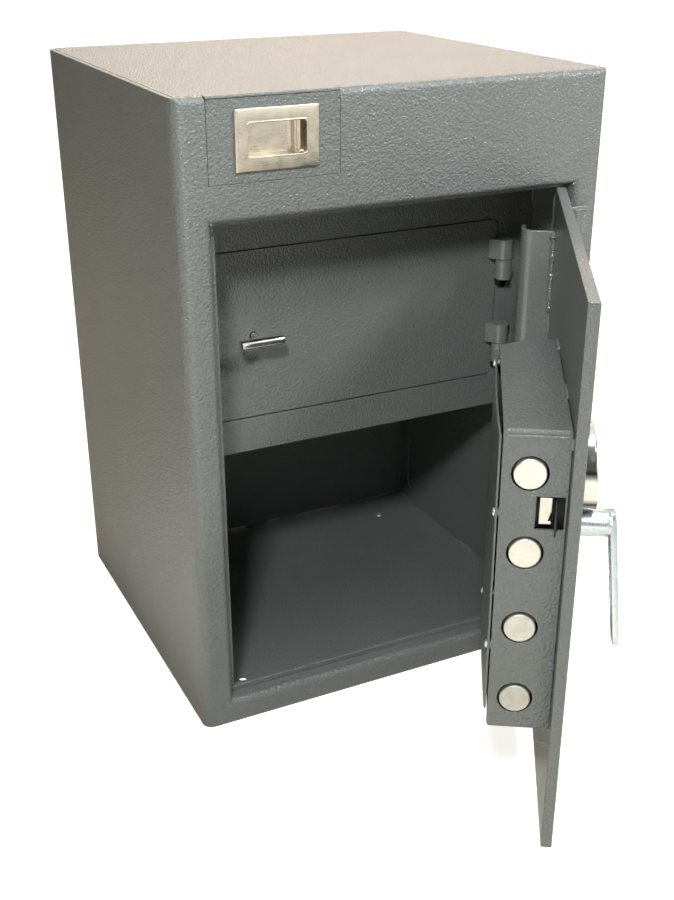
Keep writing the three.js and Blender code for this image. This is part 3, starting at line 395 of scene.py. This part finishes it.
def ringShell(rings):
    # rings: an array of rows x columns x 3; the end rings are closed by one flat face each
    rings = np.asarray(rings, float)
    rows, columns = rings.shape[:2]
    faces = gridFaces(rows, columns).tolist()
    faces += [list(range(columns)), list(range((rows - 1) * columns, rows * columns))]
    return rings.reshape(-1, 3), faces


def revolve(profile, start, axis, sides=48):
    # profile: rows of (radius, along)
    # point = start + along * axis + radius * (cos a, sin a) square to the axis
    profile = np.asarray(profile, float)
    axis = np.asarray(axis, float) / np.linalg.norm(axis)
    first = np.cross(axis, (0, 0, 1) if abs(axis[2]) < 0.9 else (0, 1, 0))
    first /= np.linalg.norm(first)
    second = np.cross(axis, first)
    angle = np.linspace(0, 2 * math.pi, sides, endpoint=False)
    around = np.cos(angle)[:, None] * first + np.sin(angle)[:, None] * second
    return np.asarray(start, float) + profile[:, None, 1:2] * axis + profile[:, None, :1] * around[None]


def roundRect(width, height, radius, steps=6):
    # outline of a rectangle with arc corners, about its middle, as points in order
    angle = np.linspace(0, math.pi / 2, steps + 1)
    corner = radius * np.stack([np.cos(angle), np.sin(angle)], 1)
    parts = []
    for turn, (sx, sy) in enumerate(((1, 1), (-1, 1), (-1, -1), (1, -1))):
        c, s = math.cos(turn * math.pi / 2), math.sin(turn * math.pi / 2)
        middle = np.array([sx * (width / 2 - radius), sy * (height / 2 - radius)])
        parts.append(middle + corner @ np.array([[c, s], [-s, c]]))
    return np.concatenate(parts)


def makePiece(name, shells, material, rides, replaced=(), sharp=creaseAngle, ring=None):
    # shells: a list of (points in metres, faces); each is closed and turned to face outwards
    points, faces, start = [], [], 0
    for shellPoints, shellFaces in shells:
        points.append(np.asarray(shellPoints, float).reshape(-1, 3))
        faces += [[start + int(v) for v in face] for face in shellFaces]
        start += len(points[-1])
    mesh = bpy.data.meshes.new(name)
    mesh.from_pydata(np.concatenate(points).tolist(), [], faces)
    form = bmesh.new()
    form.from_mesh(mesh)
    bmesh.ops.remove_doubles(form, verts=form.verts, dist=1e-7)
    bmesh.ops.recalc_face_normals(form, faces=form.faces)
    form.to_mesh(mesh)
    form.free()
    if ring is not None:
        places = np.zeros(len(mesh.vertices) * 3)
        mesh.vertices.foreach_get("co", places)
        values = ring(places.reshape(-1, 3)).astype(np.float32)
        mesh.attributes.new("ring", "FLOAT", "POINT").data.foreach_set("value", values)
    return finishPiece(name, mesh, material, rides, replaced, sharp)


def finishPiece(name, mesh, material, rides, replaced, sharp):
    mesh.polygons.foreach_set("use_smooth", np.ones(len(mesh.polygons), bool))
    mesh.set_sharp_from_angle(angle=math.radians(sharp))
    mesh.materials.clear()
    mesh.materials.append(material)
    piece = bpy.data.objects.new(name, mesh)
    scene.collection.objects.link(piece)
    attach(piece, rides)
    if replaced:
        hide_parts(*replaced)
    return piece


def softEdges(nodeName, slot, width, steps=2, material=None, plain=True, rolled=0.0):
    # a merged copy of a sheet metal part, with its folds and cut edges rounded over by a small radius
    source = nodes[nodeName]
    mesh = source.data.copy()
    form = bmesh.new()
    form.from_mesh(mesh)
    bmesh.ops.remove_doubles(form, verts=form.verts, dist=2e-6)
    if plain:  # a face pierced by several holes keeps its triangles
        bmesh.ops.dissolve_limit(form, angle_limit=math.radians(0.6), verts=form.verts, edges=form.edges)
    if rolled:  # the edges along the top of the front are rounded more than the rest
        corners = np.array([vert.co for vert in form.verts])
        front, top = corners[:, 1].min(), corners[:, 2].max()
        edges = [edge for edge in form.edges
                 if all(abs(vert.co.y - front) < 2e-4 and abs(vert.co.z - top) < 2e-4 for vert in edge.verts)]
        bmesh.ops.bevel(form, geom=edges, offset=rolled / 1000, segments=4, profile=0.5, affect="EDGES")
    form.to_mesh(mesh)
    form.free()
    piece = finishPiece(nodeName + "Sheet", mesh, material or finishes[slot], source["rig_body"],
                        (nodeName,), creaseAngle)
    bevel = piece.modifiers.new("edge", "BEVEL")
    bevel.width = width / 1000
    bevel.segments = steps
    bevel.limit_method = "ANGLE"
    bevel.angle_limit = math.radians(creaseAngle)
    bevel.use_clamp_overlap = False
    bevel.harden_normals = True
    return piece


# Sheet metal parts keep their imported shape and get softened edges
sheetEdges = {
    "front_frame": 0.5, "side_left": 0.8, "side_right": 0.8, "bottom_plate": 0.6, "back_plate": 0.8,
    "stop_lip": 1.0, "wall_strip": 0.6, "main_hinge_body": 0.8, "main_hinge_leaf": 0.6, "door_plate": 1.0,
    "hook_strip": 0.9, "bolt_box": 1.0, "bulkhead": 0.5, "inner_stop": 0.5, "compartment_floor": 0.6,
    "compartment_roof": 0.6, "compartment_back": 0.6, "inner_hinge_base_1": 0.8, "inner_hinge_base_2": 0.8,
    "inner_hinge_half_1": 0.8, "inner_hinge_half_2": 0.8, "inner_door": 0.5, "drawer_front": 0.3,
}
for nodeName, width in sheetEdges.items():
    # these parts take the glossier enamel with the painted highlight in its colour
    glossy = nodeName == "hook_strip" or nodeName.startswith("inner_hinge")
    softEdges(nodeName, "grey_paint", width, material=beadHighlightEnamel if glossy else None,
              plain=nodeName != "bolt_box")
softEdges("top_plate", "grey_paint", 0.3, rolled=1.6)
for nodeName in ("bolt_carriage", "crank", "inner_cam", "drawer_tray", "drawer_housing", "runner_left",
                 "runner_right", "anti_fish_flap"):
    softEdges(nodeName, "plated_steel", 0.4)
softEdges("lock_case", "plated_steel", 0.4, 2, shadeDarkCase)
softEdges("keypad_housing", "chrome", 1.3, 3, wedgeReflectionChrome)
softEdges("battery_cover", "chrome", 1.3, 3, wedgeReflectionChrome)
softEdges("lock_latch", "turned_steel", 0.6, 2, latchSteel)
softEdges("lock_blade", "black_plastic", 0.25)
for nodeName in ("main_hinge_pin", "flap_pin"):
    softEdges(nodeName, "screw_steel", 0.5)
print("sheet metal parts dressed")

# Live bolts: a turned bar with a broken edge and a slightly dished, worn end
boltShape = {"left": -198.0, "y": 51.5, "first": 193.5, "pitch": 77.7, "radius": 14.5, "length": 87.5,
             "edge": 1.5, "dish": 0.35, "middle": 40.0}


def liveBolt(index):
    height = boltShape["first"] + index * boltShape["pitch"]
    radius, edge = boltShape["radius"], boltShape["edge"]
    inner = np.linspace(0, radius - edge - 0.4, 9)
    face = np.stack([inner, boltShape["dish"] * (1 - (inner / radius) ** 2)], 1)
    turn = np.linspace(0, math.pi / 2, 5)
    rim = np.stack([radius - edge + edge * np.sin(turn), edge * (1 - np.cos(turn))], 1)
    length = boltShape["length"]
    tail = np.array([[radius, boltShape["middle"]], [radius, length - 1], [radius - 1, length], [0, length]])
    start = (boltShape["left"], boltShape["y"], height)
    rings = revolve(np.concatenate([face, rim, tail]), start, (1, 0, 0), 64)
    points, faces = ringShell(rings)
    axisPoint = doorPlace([(0, boltShape["y"], height)])[0]
    axisLine = doorPlace([(1000, boltShape["y"], height)])[0] - axisPoint

    def fromAxis(places):
        away = places - axisPoint
        return np.linalg.norm(away - (away @ axisLine)[:, None] * axisLine / (axisLine @ axisLine), axis=1)

    makePiece(f"liveBolt{index + 1}", [(doorPlace(points), faces)], boltShadedFinish[index], "boltwork",
              (f"bolt_{index + 1}",), 50, fromAxis)


for index in range(len(boltShadedFinish)):
    liveBolt(index)

# Cover sheet over the bolt box: a thin plate that bows away from the box between its screws
cover = {"left": -195.5, "right": 20.0, "bottom": 180.0, "top": 462.0, "face": 79.8, "thick": 2.0,
         "pull": 2.1, "wave": 0.25}


def coverBow(x, z):
    # how far the sheet stands from its flat place: pulled in at both long edges, free in the middle
    u = np.clip((x - cover["left"]) / (cover["right"] - cover["left"]), 0, 1)
    v = (z - cover["bottom"]) / (cover["top"] - cover["bottom"])
    across = np.sin(math.pi * u)
    return -cover["pull"] * (1 - across ** 0.8) + cover["wave"] * np.sin(3 * math.pi * v) * across


def coverSheet():
    columns, rows, rim = 41, 49, 0.6
    x = np.linspace(cover["left"], cover["right"], columns)
    z = np.linspace(cover["bottom"] + rim, cover["top"] - rim, rows)
    half = cover["thick"] / 2
    turn = np.linspace(-math.pi / 2, math.pi / 2, 5)[1:-1]
    along = np.concatenate([x, x[-1] + rim * np.cos(turn), x[::-1], x[0] - rim * np.cos(turn)])
    side = np.concatenate([np.full(columns, -half), half * np.sin(turn), np.full(columns, half),
                           -half * np.sin(turn)])
    ends = np.concatenate([[z[0] - rim], z, [z[-1] + rim]])
    thin = np.ones(len(ends))
    thin[[0, -1]] = 0.4
    px = np.broadcast_to(along, (len(ends), len(along)))
    pz = np.broadcast_to(ends[:, None], px.shape)
    py = cover["face"] + half + side[None] * thin[:, None] + coverBow(px, np.clip(pz, z[0], z[-1]))
    points, faces = ringShell(np.stack([px, py, pz], -1))
    makePiece("coverSheet", [(doorPlace(points), faces)], finishes["grey_paint"], "main_door",
              ("box_cover",), 60)


coverSheet()

# Dome screws with a hexagon socket, and the posts they hold on to
screws = {"radius": 4.0, "height": 2.3, "socket": 1.35, "deep": 1.3,
          "feet": ((-189.5, 247.9, 17.5), (-189.5, 385.2, 46.3), (5.0, 189.0, 17.5), (5.0, 453.0, 17.5))}


def domeScrew(index, x, z, foot):
    # rings about the screw's axis: socket floor, hexagon, dome, rim and the shank behind it
    angle = np.linspace(0, 2 * math.pi, 36, endpoint=False)
    hexagon = screws["socket"] / np.cos((angle + math.pi / 6) % (math.pi / 3) - math.pi / 6)
    radius, height = screws["radius"], screws["height"]
    face = cover["face"] + cover["thick"] + float(coverBow(np.array(x), np.array(z)))
    bottom = height - screws["deep"]
    rows = [(angle * 0, bottom), (hexagon, bottom), (hexagon, height * 0.985)]
    for share in np.linspace(0.42, 1.0, 7):
        dome = height * (1 - share ** 2) ** 0.5 * 0.72 + 0.28 * height * (share < 1) + 0.12
        rows.append((angle * 0 + radius * share, dome))
    rows += [(angle * 0 + radius, 0.0), (angle * 0 + 2.0, 0.0), (angle * 0 + 2.0, -11.5), (angle * 0, -11.5)]
    rings = np.stack([np.stack([x + r * np.cos(angle), face + h + r * 0, z + r * np.sin(angle)], -1)
                      for r, h in rows])
    points, faces = ringShell(rings)
    makePiece(f"domeScrew{index}", [(doorPlace(points), faces)], finishes["screw_steel"], "main_door",
              (f"cover_screw_{index}",), 30)
    top = face - cover["thick"] - 0.1
    reach = top - foot
    profile = [(2.3, reach - 13), (2.3, reach), (4.2, reach), (4.5, reach - 0.4), (4.5, 0.4), (4.2, 0),
               (0, 0), (0, reach - 13)]
    post = revolve(profile, (x, foot, z), (0, 1, 0), 32)
    points, faces = ringShell(post)
    makePiece(f"coverPost{index}", [(doorPlace(points), faces[:-2])], finishes["plated_steel"],
              "main_door", (f"cover_post_{index}",), 40)


for index, (x, z, foot) in enumerate(screws["feet"], 1):
    domeScrew(index, x, z, foot)
print("bolts, cover and screws made")

# Flush pull: a mitred frame with a bright chamfer, and a cup whose floor turns up into a finger lip
pull = {"x": -144.3, "z": 667.0, "width": 88.6, "height": 60.0, "cupWidth": 60.4, "cupHeight": 31.0,
        "proud": 3.3, "depth": 11.0}


def flushPull():
    w, h, cw, ch = pull["width"], pull["height"], pull["cupWidth"], pull["cupHeight"]
    front, deep = -pull["proud"], pull["depth"]
    # rings from the outer back edge, over the frame, down the cup and back: (width, height, corner, y)
    bend = np.linspace(0, math.pi / 2, 6)
    edge = [(w - 2.6 * (1 - np.cos(a)), h - 2.6 * (1 - np.cos(a)), 1.2, -2.0 + (front + 2.0) * np.sin(a))
            for a in bend]
    turn = np.linspace(0, math.pi, 9)
    rim = [(cw + 2.6 + 1.5 * np.cos(a), ch + 2.6 + 1.5 * np.cos(a), 3.4, front + 0.35 - 0.75 * np.sin(a))
           for a in turn]
    cup = [(cw + 0.5, ch + 0.5, 3.0, front + 0.9), (cw, ch, 3.0, front + 2.0), (cw, ch, 3.0, deep - 2.4),
           (cw - 1.4, ch - 1.4, 2.6, deep - 0.7), (cw - 4.6, ch - 4.6, 1.6, deep)]
    frameRings = [(w - 1, h - 1, 0.8, -0.3), (w, h, 1.2, -0.5)] + edge + rim + cup
    backRings = [(cw - 4.6, ch - 4.6, 1.6, deep + 1.4), (cw + 1.6, ch + 1.6, 3.8, deep + 1.4),
                 (cw + 2.8, ch + 2.8, 4.2, deep), (cw + 2.8, ch + 2.8, 4.2, -0.3)]

    def oneRing(width, height, corner, y):
        outline = roundRect(width, height, corner)
        return np.stack([pull["x"] + outline[:, 0], np.full(len(outline), y), pull["z"] + outline[:, 1]], 1)

    rows = len(frameRings)
    whole = np.array([oneRing(*row) for row in frameRings + backRings])
    count = whole.shape[1]
    faces = [f for f in gridFaces(len(whole), count).tolist() if f[0] // count != rows - 1]
    faces.append(list(range((rows - 1) * count, rows * count)))
    faces.append(list(range(rows * count, (rows + 1) * count)))
    last = (len(whole) - 1) * count
    faces += [[last + i, last + (i + 1) % count, (i + 1) % count, i] for i in range(count)]
    # finger lip: a strip that rises from the cup's floor near its right end, with a gap behind it
    rise = np.array([(-26.5, 8.6), (10.0, 8.4), (14.5, 7.8), (17.0, 5.6), (18.3, 2.4), (18.9, 0.4),
                     (19.6, -0.4), (20.6, -0.5), (21.3, 0.2), (21.4, 2.6),
                     (20.6, 6.4), (18.6, 9.4), (14.5, 10.6), (-26.5, 10.7)])
    reach = np.array([-1.0, -0.985, 0.985, 1.0]) * (ch / 2 - 0.15)
    lip = np.stack([np.stack([pull["x"] + rise[:, 0], rise[:, 1], np.full(len(rise), pull["z"] + z)], 1)
                    for z in reach])
    lipPoints, lipFaces = ringShell(lip)
    makePiece("flushPull", [(bodyPlace(whole), faces), (bodyPlace(lipPoints), lipFaces)],
              finishes["brushed_stainless"], "drawer", ("drawer_pull",), 24)


flushPull()

# Lever handle: a tapered neck that meets a flat bar in a mitred corner; the bar's back is hollowed
lever = {"x": -110.0, "z": 338.0, "front": 6.4, "neck": 38.4, "root": 14.0, "tip": 13.3,
         "width": 20.0, "thick": 7.0, "top": 11.8, "drop": 119.5, "lean": 5.0, "tilt": 12.0,
         "hollow": (-103.0, -20.0), "hollowDeep": 2.2}


def leverHandle():
    root, tip, neck = lever["root"], lever["tip"], lever["neck"]
    neckRows = [(0, -0.3), (root - 0.6, -0.3), (root, -0.9), (root, -3.0), (root - 0.7, -4.0)]
    share = np.linspace(0, 1, 9)
    slim = root - 0.7 - (root - 0.7 - tip) * share ** 0.8
    neckRows += np.stack([slim, -4 - share * (neck - 5)], 1).tolist()
    neckRows += [(tip - 0.8, -neck - 1.0), (0, -neck - 1.0)]
    neckPoints, neckFaces = ringShell(revolve(neckRows, (0, 0, 0), (0, 1, 0), 56))
    # the bar: an outline of points across the width, drawn at stations down its length
    half, thin = lever["width"] / 2, lever["thick"] / 2
    low, high = lever["hollow"]
    top = lever["top"]
    stations = np.array([top, top - 0.35, top - 1.0, 4.0, high + 3, high + 0.6, high, high - 2.5, -50, -80,
                         low + 2.5, low, low - 0.6, low - 3, -lever["drop"] + 1.2,
                         -lever["drop"] + 0.4, -lever["drop"]])
    shrink = np.array([0.0, 0.6, 1.0] + [1.0] * (len(stations) - 6) + [1.0, 0.65, 0.0])
    rings = []
    for z, grow in zip(stations, shrink):
        taper = 1 - 0.12 * max(0, -z) / lever["drop"]
        w = half * taper - 0.9 * (1 - grow)
        t = thin * (1 - 0.1 * max(0, -z) / lever["drop"]) - 0.9 * (1 - grow)
        deep = lever["hollowDeep"] if low < z < high else 0.0
        ledge = 0.62 * w
        section = [(-w, -t + 1), (-w + 0.3, -t + 0.3), (-w + 1, -t), (w - 1, -t), (w - 0.3, -t + 0.3),
                   (w, -t + 1), (w, t - 1), (w - 0.3, t - 0.3), (w - 1, t), (ledge + 0.5, t),
                   (ledge, t - 0.4 * bool(deep)), (ledge - 0.5, t - deep), (-ledge + 0.5, t - deep),
                   (-ledge, t - 0.4 * bool(deep)), (-ledge - 0.5, t), (-w + 1, t), (-w + 0.3, t - 0.3),
                   (-w, t - 1)]
        rings.append([(u, v, z) for u, v in section])
    barPoints, barFaces = ringShell(np.array(rings))
    lean, tilt = math.radians(lever["lean"]), math.radians(lever["tilt"])
    c, s = math.cos(-lean), math.sin(-lean)
    x, y, z = barPoints.T
    barPoints = np.stack([x, c * y - s * z, s * y + c * z], 1)
    barPoints = barPoints + (0, -lever["neck"] - lever["thick"] / 2 + 1.2, 0)
    c, s = math.cos(tilt), math.sin(tilt)
    x, y, z = barPoints.T
    barPoints = np.stack([c * x + s * z, y, -s * x + c * z], 1)
    at = np.array([lever["x"], lever["front"], lever["z"]])
    makePiece("leverHandle", [(doorPlace(neckPoints + at), neckFaces), (doorPlace(barPoints + at), barFaces)],
              finishes["satin_silver"], "handle", ("door_handle",), 30)


leverHandle()

# Key mat: a thin rubber disc on the tilted face, with three columns of dished keys
keys = {"x": -110.0, "z": 397.5, "centre": 8.0, "radius": 31.0, "key": 5.0, "pitchX": 15.0, "pitchZ": 13.0,
        "faceAt": -12.25, "slope": 0.0904}


def keyMat():
    def onFace(rings):
        # the face plane leans: y grows with height, and everything sits square to the shut door
        rings = rings.copy()
        rings[..., 1] += keys["faceAt"] + keys["slope"] * rings[..., 2]
        return rings + (keys["x"], 0, keys["z"])

    disc = [(0, 0.2), (keys["radius"] - 1.6, 0.2), (keys["radius"] - 1.0, -0.5), (keys["radius"] - 0.3, -0.3),
            (keys["radius"], 0.3), (keys["radius"], 1.7), (0, 1.7)]
    shells = [ringShell(onFace(revolve(disc, (0, 0, keys["centre"]), (0, 1, 0), 64)))]
    key = [(0, -0.55), (keys["key"] * 0.45, -0.65), (keys["key"] * 0.75, -1.0), (keys["key"] - 0.5, -1.15),
           (keys["key"], -0.75), (keys["key"] + 0.15, 0.6), (0, 0.9)]
    for row in range(4):
        for column in range(3):
            middle = ((column - 1) * keys["pitchX"], 0, keys["centre"] + (1.5 - row) * keys["pitchZ"])
            shells.append(ringShell(onFace(revolve(key, middle, (0, 1, 0), 28))))
    makePiece("keyMat", [(doorPlace(points), faces) for points, faces in shells], finishes["key_rubber"],
              "main_door", ("key_mat",), 40)


keyMat()

# Inner handle: a polished bar with rounded ends on a thin stem
innerBar = {"x": -127.5, "z": 426.0, "out": 93.0, "half": 26.0, "radius": 5.9, "stem": 4.0}


def innerHandle():
    r, half = innerBar["radius"], innerBar["half"]
    turn = np.linspace(0, math.pi / 2, 5)
    end = np.stack([r - 1.4 + 1.4 * np.sin(turn), half - 1.4 + 1.4 * np.cos(turn)], 1)
    side = [(r, half * 0.5), (r, 0), (r, -half * 0.5)]
    rows = np.concatenate([[(0, half)], end, side, (end * (1, -1))[::-1], [(0, -half)]])
    bar = ringShell(revolve(rows, (innerBar["x"], innerBar["out"], innerBar["z"]), (1, 0, 0), 48))
    thin = innerBar["stem"] - 0.05
    out = innerBar["out"]
    stemRows = [(0, out), (thin, out), (thin, 118.0), (thin, 132.0), (thin - 0.5, 132.6), (0, 132.6)]
    stem = ringShell(revolve(stemRows, (innerBar["x"], 0, innerBar["z"]), (0, 1, 0), 40))
    makePiece("innerHandle", [(bodyPlace(p), f) for p, f in (bar, stem)], finishes["chrome"],
              "inner_lock", ("inner_handle",), 40)


innerHandle()
print("handles, pull and key mat made")

# Weld beads under the paint: a low rippled ridge carried along a joint, its ends tapered
random = np.random.default_rng(20)
weldRipple = {"pitch": 2.3, "depth": 0.20, "wander": 0.12}


def bead(start, end, size, place, ragged=1.0):
    # point = start + t (end - start) + radius(t) (cos a, sin a); radius ripples as |sin| and wanders
    start, end = np.asarray(start, float), np.asarray(end, float)
    length = np.linalg.norm(end - start)
    axis = (end - start) / length
    rows = max(8, int(length / 0.55))
    t = np.linspace(0, 1, rows)
    first = np.cross(axis, (0.3, 0.5, 0.81))
    first /= np.linalg.norm(first)
    second = np.cross(axis, first)
    ripple = 1 + weldRipple["depth"] * np.abs(np.sin(math.pi * t * length / weldRipple["pitch"]))
    noise = np.convolve(random.normal(0, 1, rows + 6), np.ones(7) / 7, "valid")
    taper = np.minimum(1, np.minimum(t, 1 - t) * length / size + 0.02) ** 0.5
    radius = size * (ripple + ragged * weldRipple["wander"] * 2.6 * noise) * taper
    radius[[0, -1]] = 0
    wander = size * 0.12 * ragged * np.convolve(random.normal(0, 1, rows + 8), np.ones(9) / 9, "valid")
    angle = np.linspace(0, 2 * math.pi, 20, endpoint=False)
    middle = start + t[:, None] * (end - start) + wander[:, None] * first
    around = np.cos(angle)[None, :, None] * first + np.sin(angle)[None, :, None] * second
    rings = middle[:, None] + radius[:, None, None] * around
    points, faces = ringShell(rings)
    return place(points), faces


def seamBeads(name, lines, place, rides, ragged=1.0):
    beads = [bead(a, b, size, place, ragged) for a, b, size in lines]
    makePiece(name, beads, beadHighlightEnamel, rides, (), 60)


seamBeads("hookWeld", [
    ((176.0, 18.7, 545), (176.0, 18.7, 452), 2.7),
    ((175.6, 19.0, 545), (175.4, 19.2, 536), 3.3),
    ((176.7, 18.0, 452), (176.9, 17.8, 372), 1.6),
    ((176.7, 18.0, 330), (176.7, 18.0, 290), 2.0),
    ((176.7, 18.0, 140), (176.7, 18.0, 74), 2.0),
    ((182.9, 17.6, 420), (182.9, 17.6, 380), 1.3),
], doorPlace, "main_door", 1.6)
seamBeads("boxTopWeld", [
    ((-195.3, 18, 466.2), (-195.3, 75.5, 466.2), 2.2),
    ((-195.4, 18, 461.6), (-195.4, 75.0, 461.6), 1.8),
], doorPlace, "main_door", 0.5)
seamBeads("boxRootWeld", [
    ((-197.0, 17.6, 462), (-197.0, 17.6, 450), 1.2),
    ((-120, 17.6, 467.4), (-86, 17.6, 467.4), 1.5),
    ((10, 17.8, 467.4), (40, 17.8, 467.4), 1.9),
], doorPlace, "main_door")
seamBeads("doorCornerWeld", [
    ((-211.6, 7.4, 585.6), (-211.6, 16.2, 585.6), 1.1),
], doorPlace, "main_door", 0.5)
seamBeads("hingeTopWeld", [
    ((209, -0.9, 561.6), (233, -0.9, 561.6), 1.1),
    ((207.8, -12.6, 561.7), (224, -12.9, 561.7), 0.7),
], bodyPlace, "cabinet", 1.2)
seamBeads("cornerWeld", [
    ((-216.5, 1.2, 590.0), (-212.6, 3.4, 586.6), 1.1),
    ((216.5, 1.2, 590.0), (212.6, 3.4, 586.6), 1.1),
    ((-216.5, 1.2, 26.0), (-212.6, 3.4, 29.6), 1.1),
    ((216.5, 1.2, 26.0), (212.6, 3.4, 29.6), 1.1),
    ((-206.0, 0.5, 23.2), (-160.0, 0.4, 23.2), 0.6),
], bodyPlace, "cabinet")
seamBeads("floorWeld", [
    ((30, 435.2, 6.8), (62, 435.2, 6.8), 1.6),
    ((150, 435.0, 6.8), (226, 435.0, 6.8), 1.4),
    ((243.0, 430, 6.8), (243.0, 396, 6.8), 1.4),
    ((-160, 435.2, 6.8), (-120, 435.2, 6.8), 1.6),
    ((243.0, 250, 6.6), (243.0, 216, 6.6), 1.4),
    ((242.8, 434.6, 10), (242.8, 434.6, 62), 1.5),
    ((-242.8, 434.6, 10), (-242.8, 434.6, 62), 1.5),
    ((-243.0, 300, 6.6), (-243.0, 262, 6.6), 1.4),
], bodyPlace, "cabinet")
seamBeads("wallWeld", [
    ((240.6, 405.2, 60), (240.6, 405.2, 78), 1.1),
    ((240.6, 405.2, 210), (240.6, 405.2, 232), 1.1),
    ((243.2, 119.4, 300), (243.2, 119.4, 330), 1.3),
    ((243.2, 119.4, 540), (243.2, 119.4, 572), 1.3),
    ((-243.2, 119.4, 320), (-243.2, 119.4, 350), 1.3),
    ((-243.2, 119.4, 520), (-243.2, 119.4, 556), 1.3),
], bodyPlace, "cabinet")
seamBeads("backWeld", [((-243.0, 441.6, z), (-243.0, 441.6, z + 34), 1.6) for z in (40, 200, 360, 520, 650)]
          + [((243.0, 441.6, z), (243.0, 441.6, z + 34), 1.6) for z in (40, 200, 360, 520, 650)]
          + [((x, 441.6, 6.4), (x + 34, 441.6, 6.4), 1.6) for x in (-180, -20, 140)]
          + [((x, 441.6, 703.6), (x + 34, 441.6, 703.6), 1.6) for x in (-180, -20, 140)],
          bodyPlace, "cabinet")


# Nibs under the paint: small low domes scattered near the welds
def nibs(name, count, low, high, normal, size, place, rides):
    low, high = np.asarray(low, float), np.asarray(high, float)
    middles = low + random.random((count, 3)) * (high - low)
    sizes = size * (0.45 + 0.8 * random.random(count) ** 2)
    normal = np.asarray(normal, float)
    shells = []
    for middle, radius in zip(middles, sizes):
        rows = [(0, radius * 0.75), (radius * 0.5, radius * 0.62), (radius * 0.87, radius * 0.3),
                (radius, -0.2), (0, -0.2)]
        points, faces = ringShell(revolve(rows, middle, normal, 8))
        shells.append((place(points), faces))
    makePiece(name, shells, finishes["grey_paint"], rides, (), 70)


nibs("doorNibs", 60, (-196, 120, 492), (100, 120, 523), (0, -1, 0), 0.55, bodyPlace, "inner_door")
nibs("doorSideNibs", 40, (-198, 120, 400), (-172, 120, 520), (0, -1, 0), 0.5, bodyPlace, "inner_door")
nibs("cornerNibs", 36, (170, 400, 6.1), (238, 434, 6.1), (0, 0, 1), 0.8, bodyPlace, "cabinet")
nibs("floorNibs", 16, (-190, 40, 6.1), (200, 390, 6.1), (0, 0, 1), 0.7, bodyPlace, "cabinet")
nibs("boxNibs", 24, (-185, 30, 467.1), (0, 66, 467.1), (0, 0, 1), 0.5, doorPlace, "main_door")
print("welds and nibs made")

# Floor: plain and pale. It glows up to white, to the camera and in reflections, in front of the object and to
# its left, and to the camera also far away: painted light, placed by position where the floor is lit; near
# the object it keeps the shadow
floorLook = {"tone": (0.66, 0.60, 0.50), "glow": 0.84, "tint": (1.0, 0.985, 0.95),
             "front": (-0.25, -0.70, 0.36), "left": (-0.26, -0.36, 0.95), "fade": (0.05, 0.60),
             "away": (0.9, 2.6, 1.0, 1.3)}
floorMesh = bpy.data.meshes.new("studioFloor")
floorMesh.from_pydata([(-40, -40, 0), (40, -40, 0), (40, 40, 0), (-40, 40, 0)], [], [(0, 1, 2, 3)])
studioFloor = bpy.data.objects.new("studioFloor", floorMesh)
scene.collection.objects.link(studioFloor)
floorPaint = Finish("studioFloorPaint", floorLook["tone"], 0.9)
cameraRay, seenRay = seenDirectly(floorPaint.material.node_tree)
floorParts = floorPaint.nodes.new("ShaderNodeSeparateXYZ")
floorPaint.links.new(floorPaint.place, floorParts.inputs[0])
front = floorPaint.span(floorParts.outputs["Y"], *floorLook["front"][:2], 0.0, floorLook["front"][2])
left = floorPaint.span(floorParts.outputs["X"], *floorLook["left"][:2], 0.0, floorLook["left"][2])
fade = floorPaint.span(floorParts.outputs["Y"], *floorLook["fade"], 1.0, 0.0)
# the part of the floor that lies away from the object's shadow, which gets the painted light of the glow
clear = floorPaint.sum("MAXIMUM", front, floorPaint.sum("MULTIPLY", left, fade))
distance = floorPaint.nodes.new("ShaderNodeVectorMath")
distance.operation = "LENGTH"
floorPaint.links.new(floorPaint.place, distance.inputs[0])
away = floorPaint.sum("MULTIPLY", cameraRay, floorPaint.span(distance.outputs["Value"], *floorLook["away"]))
glow = floorPaint.sum("MULTIPLY", seenRay, floorPaint.sum("MAXIMUM", clear, away))
glow = floorPaint.sum("MULTIPLY", glow, floorLook["glow"])
floorPaint.shader.inputs["Emission Color"].default_value = (*floorLook["tint"], 1)
floorPaint.set("Emission Strength", glow)
floorMesh.materials.append(floorPaint.material)

print("scene ready")
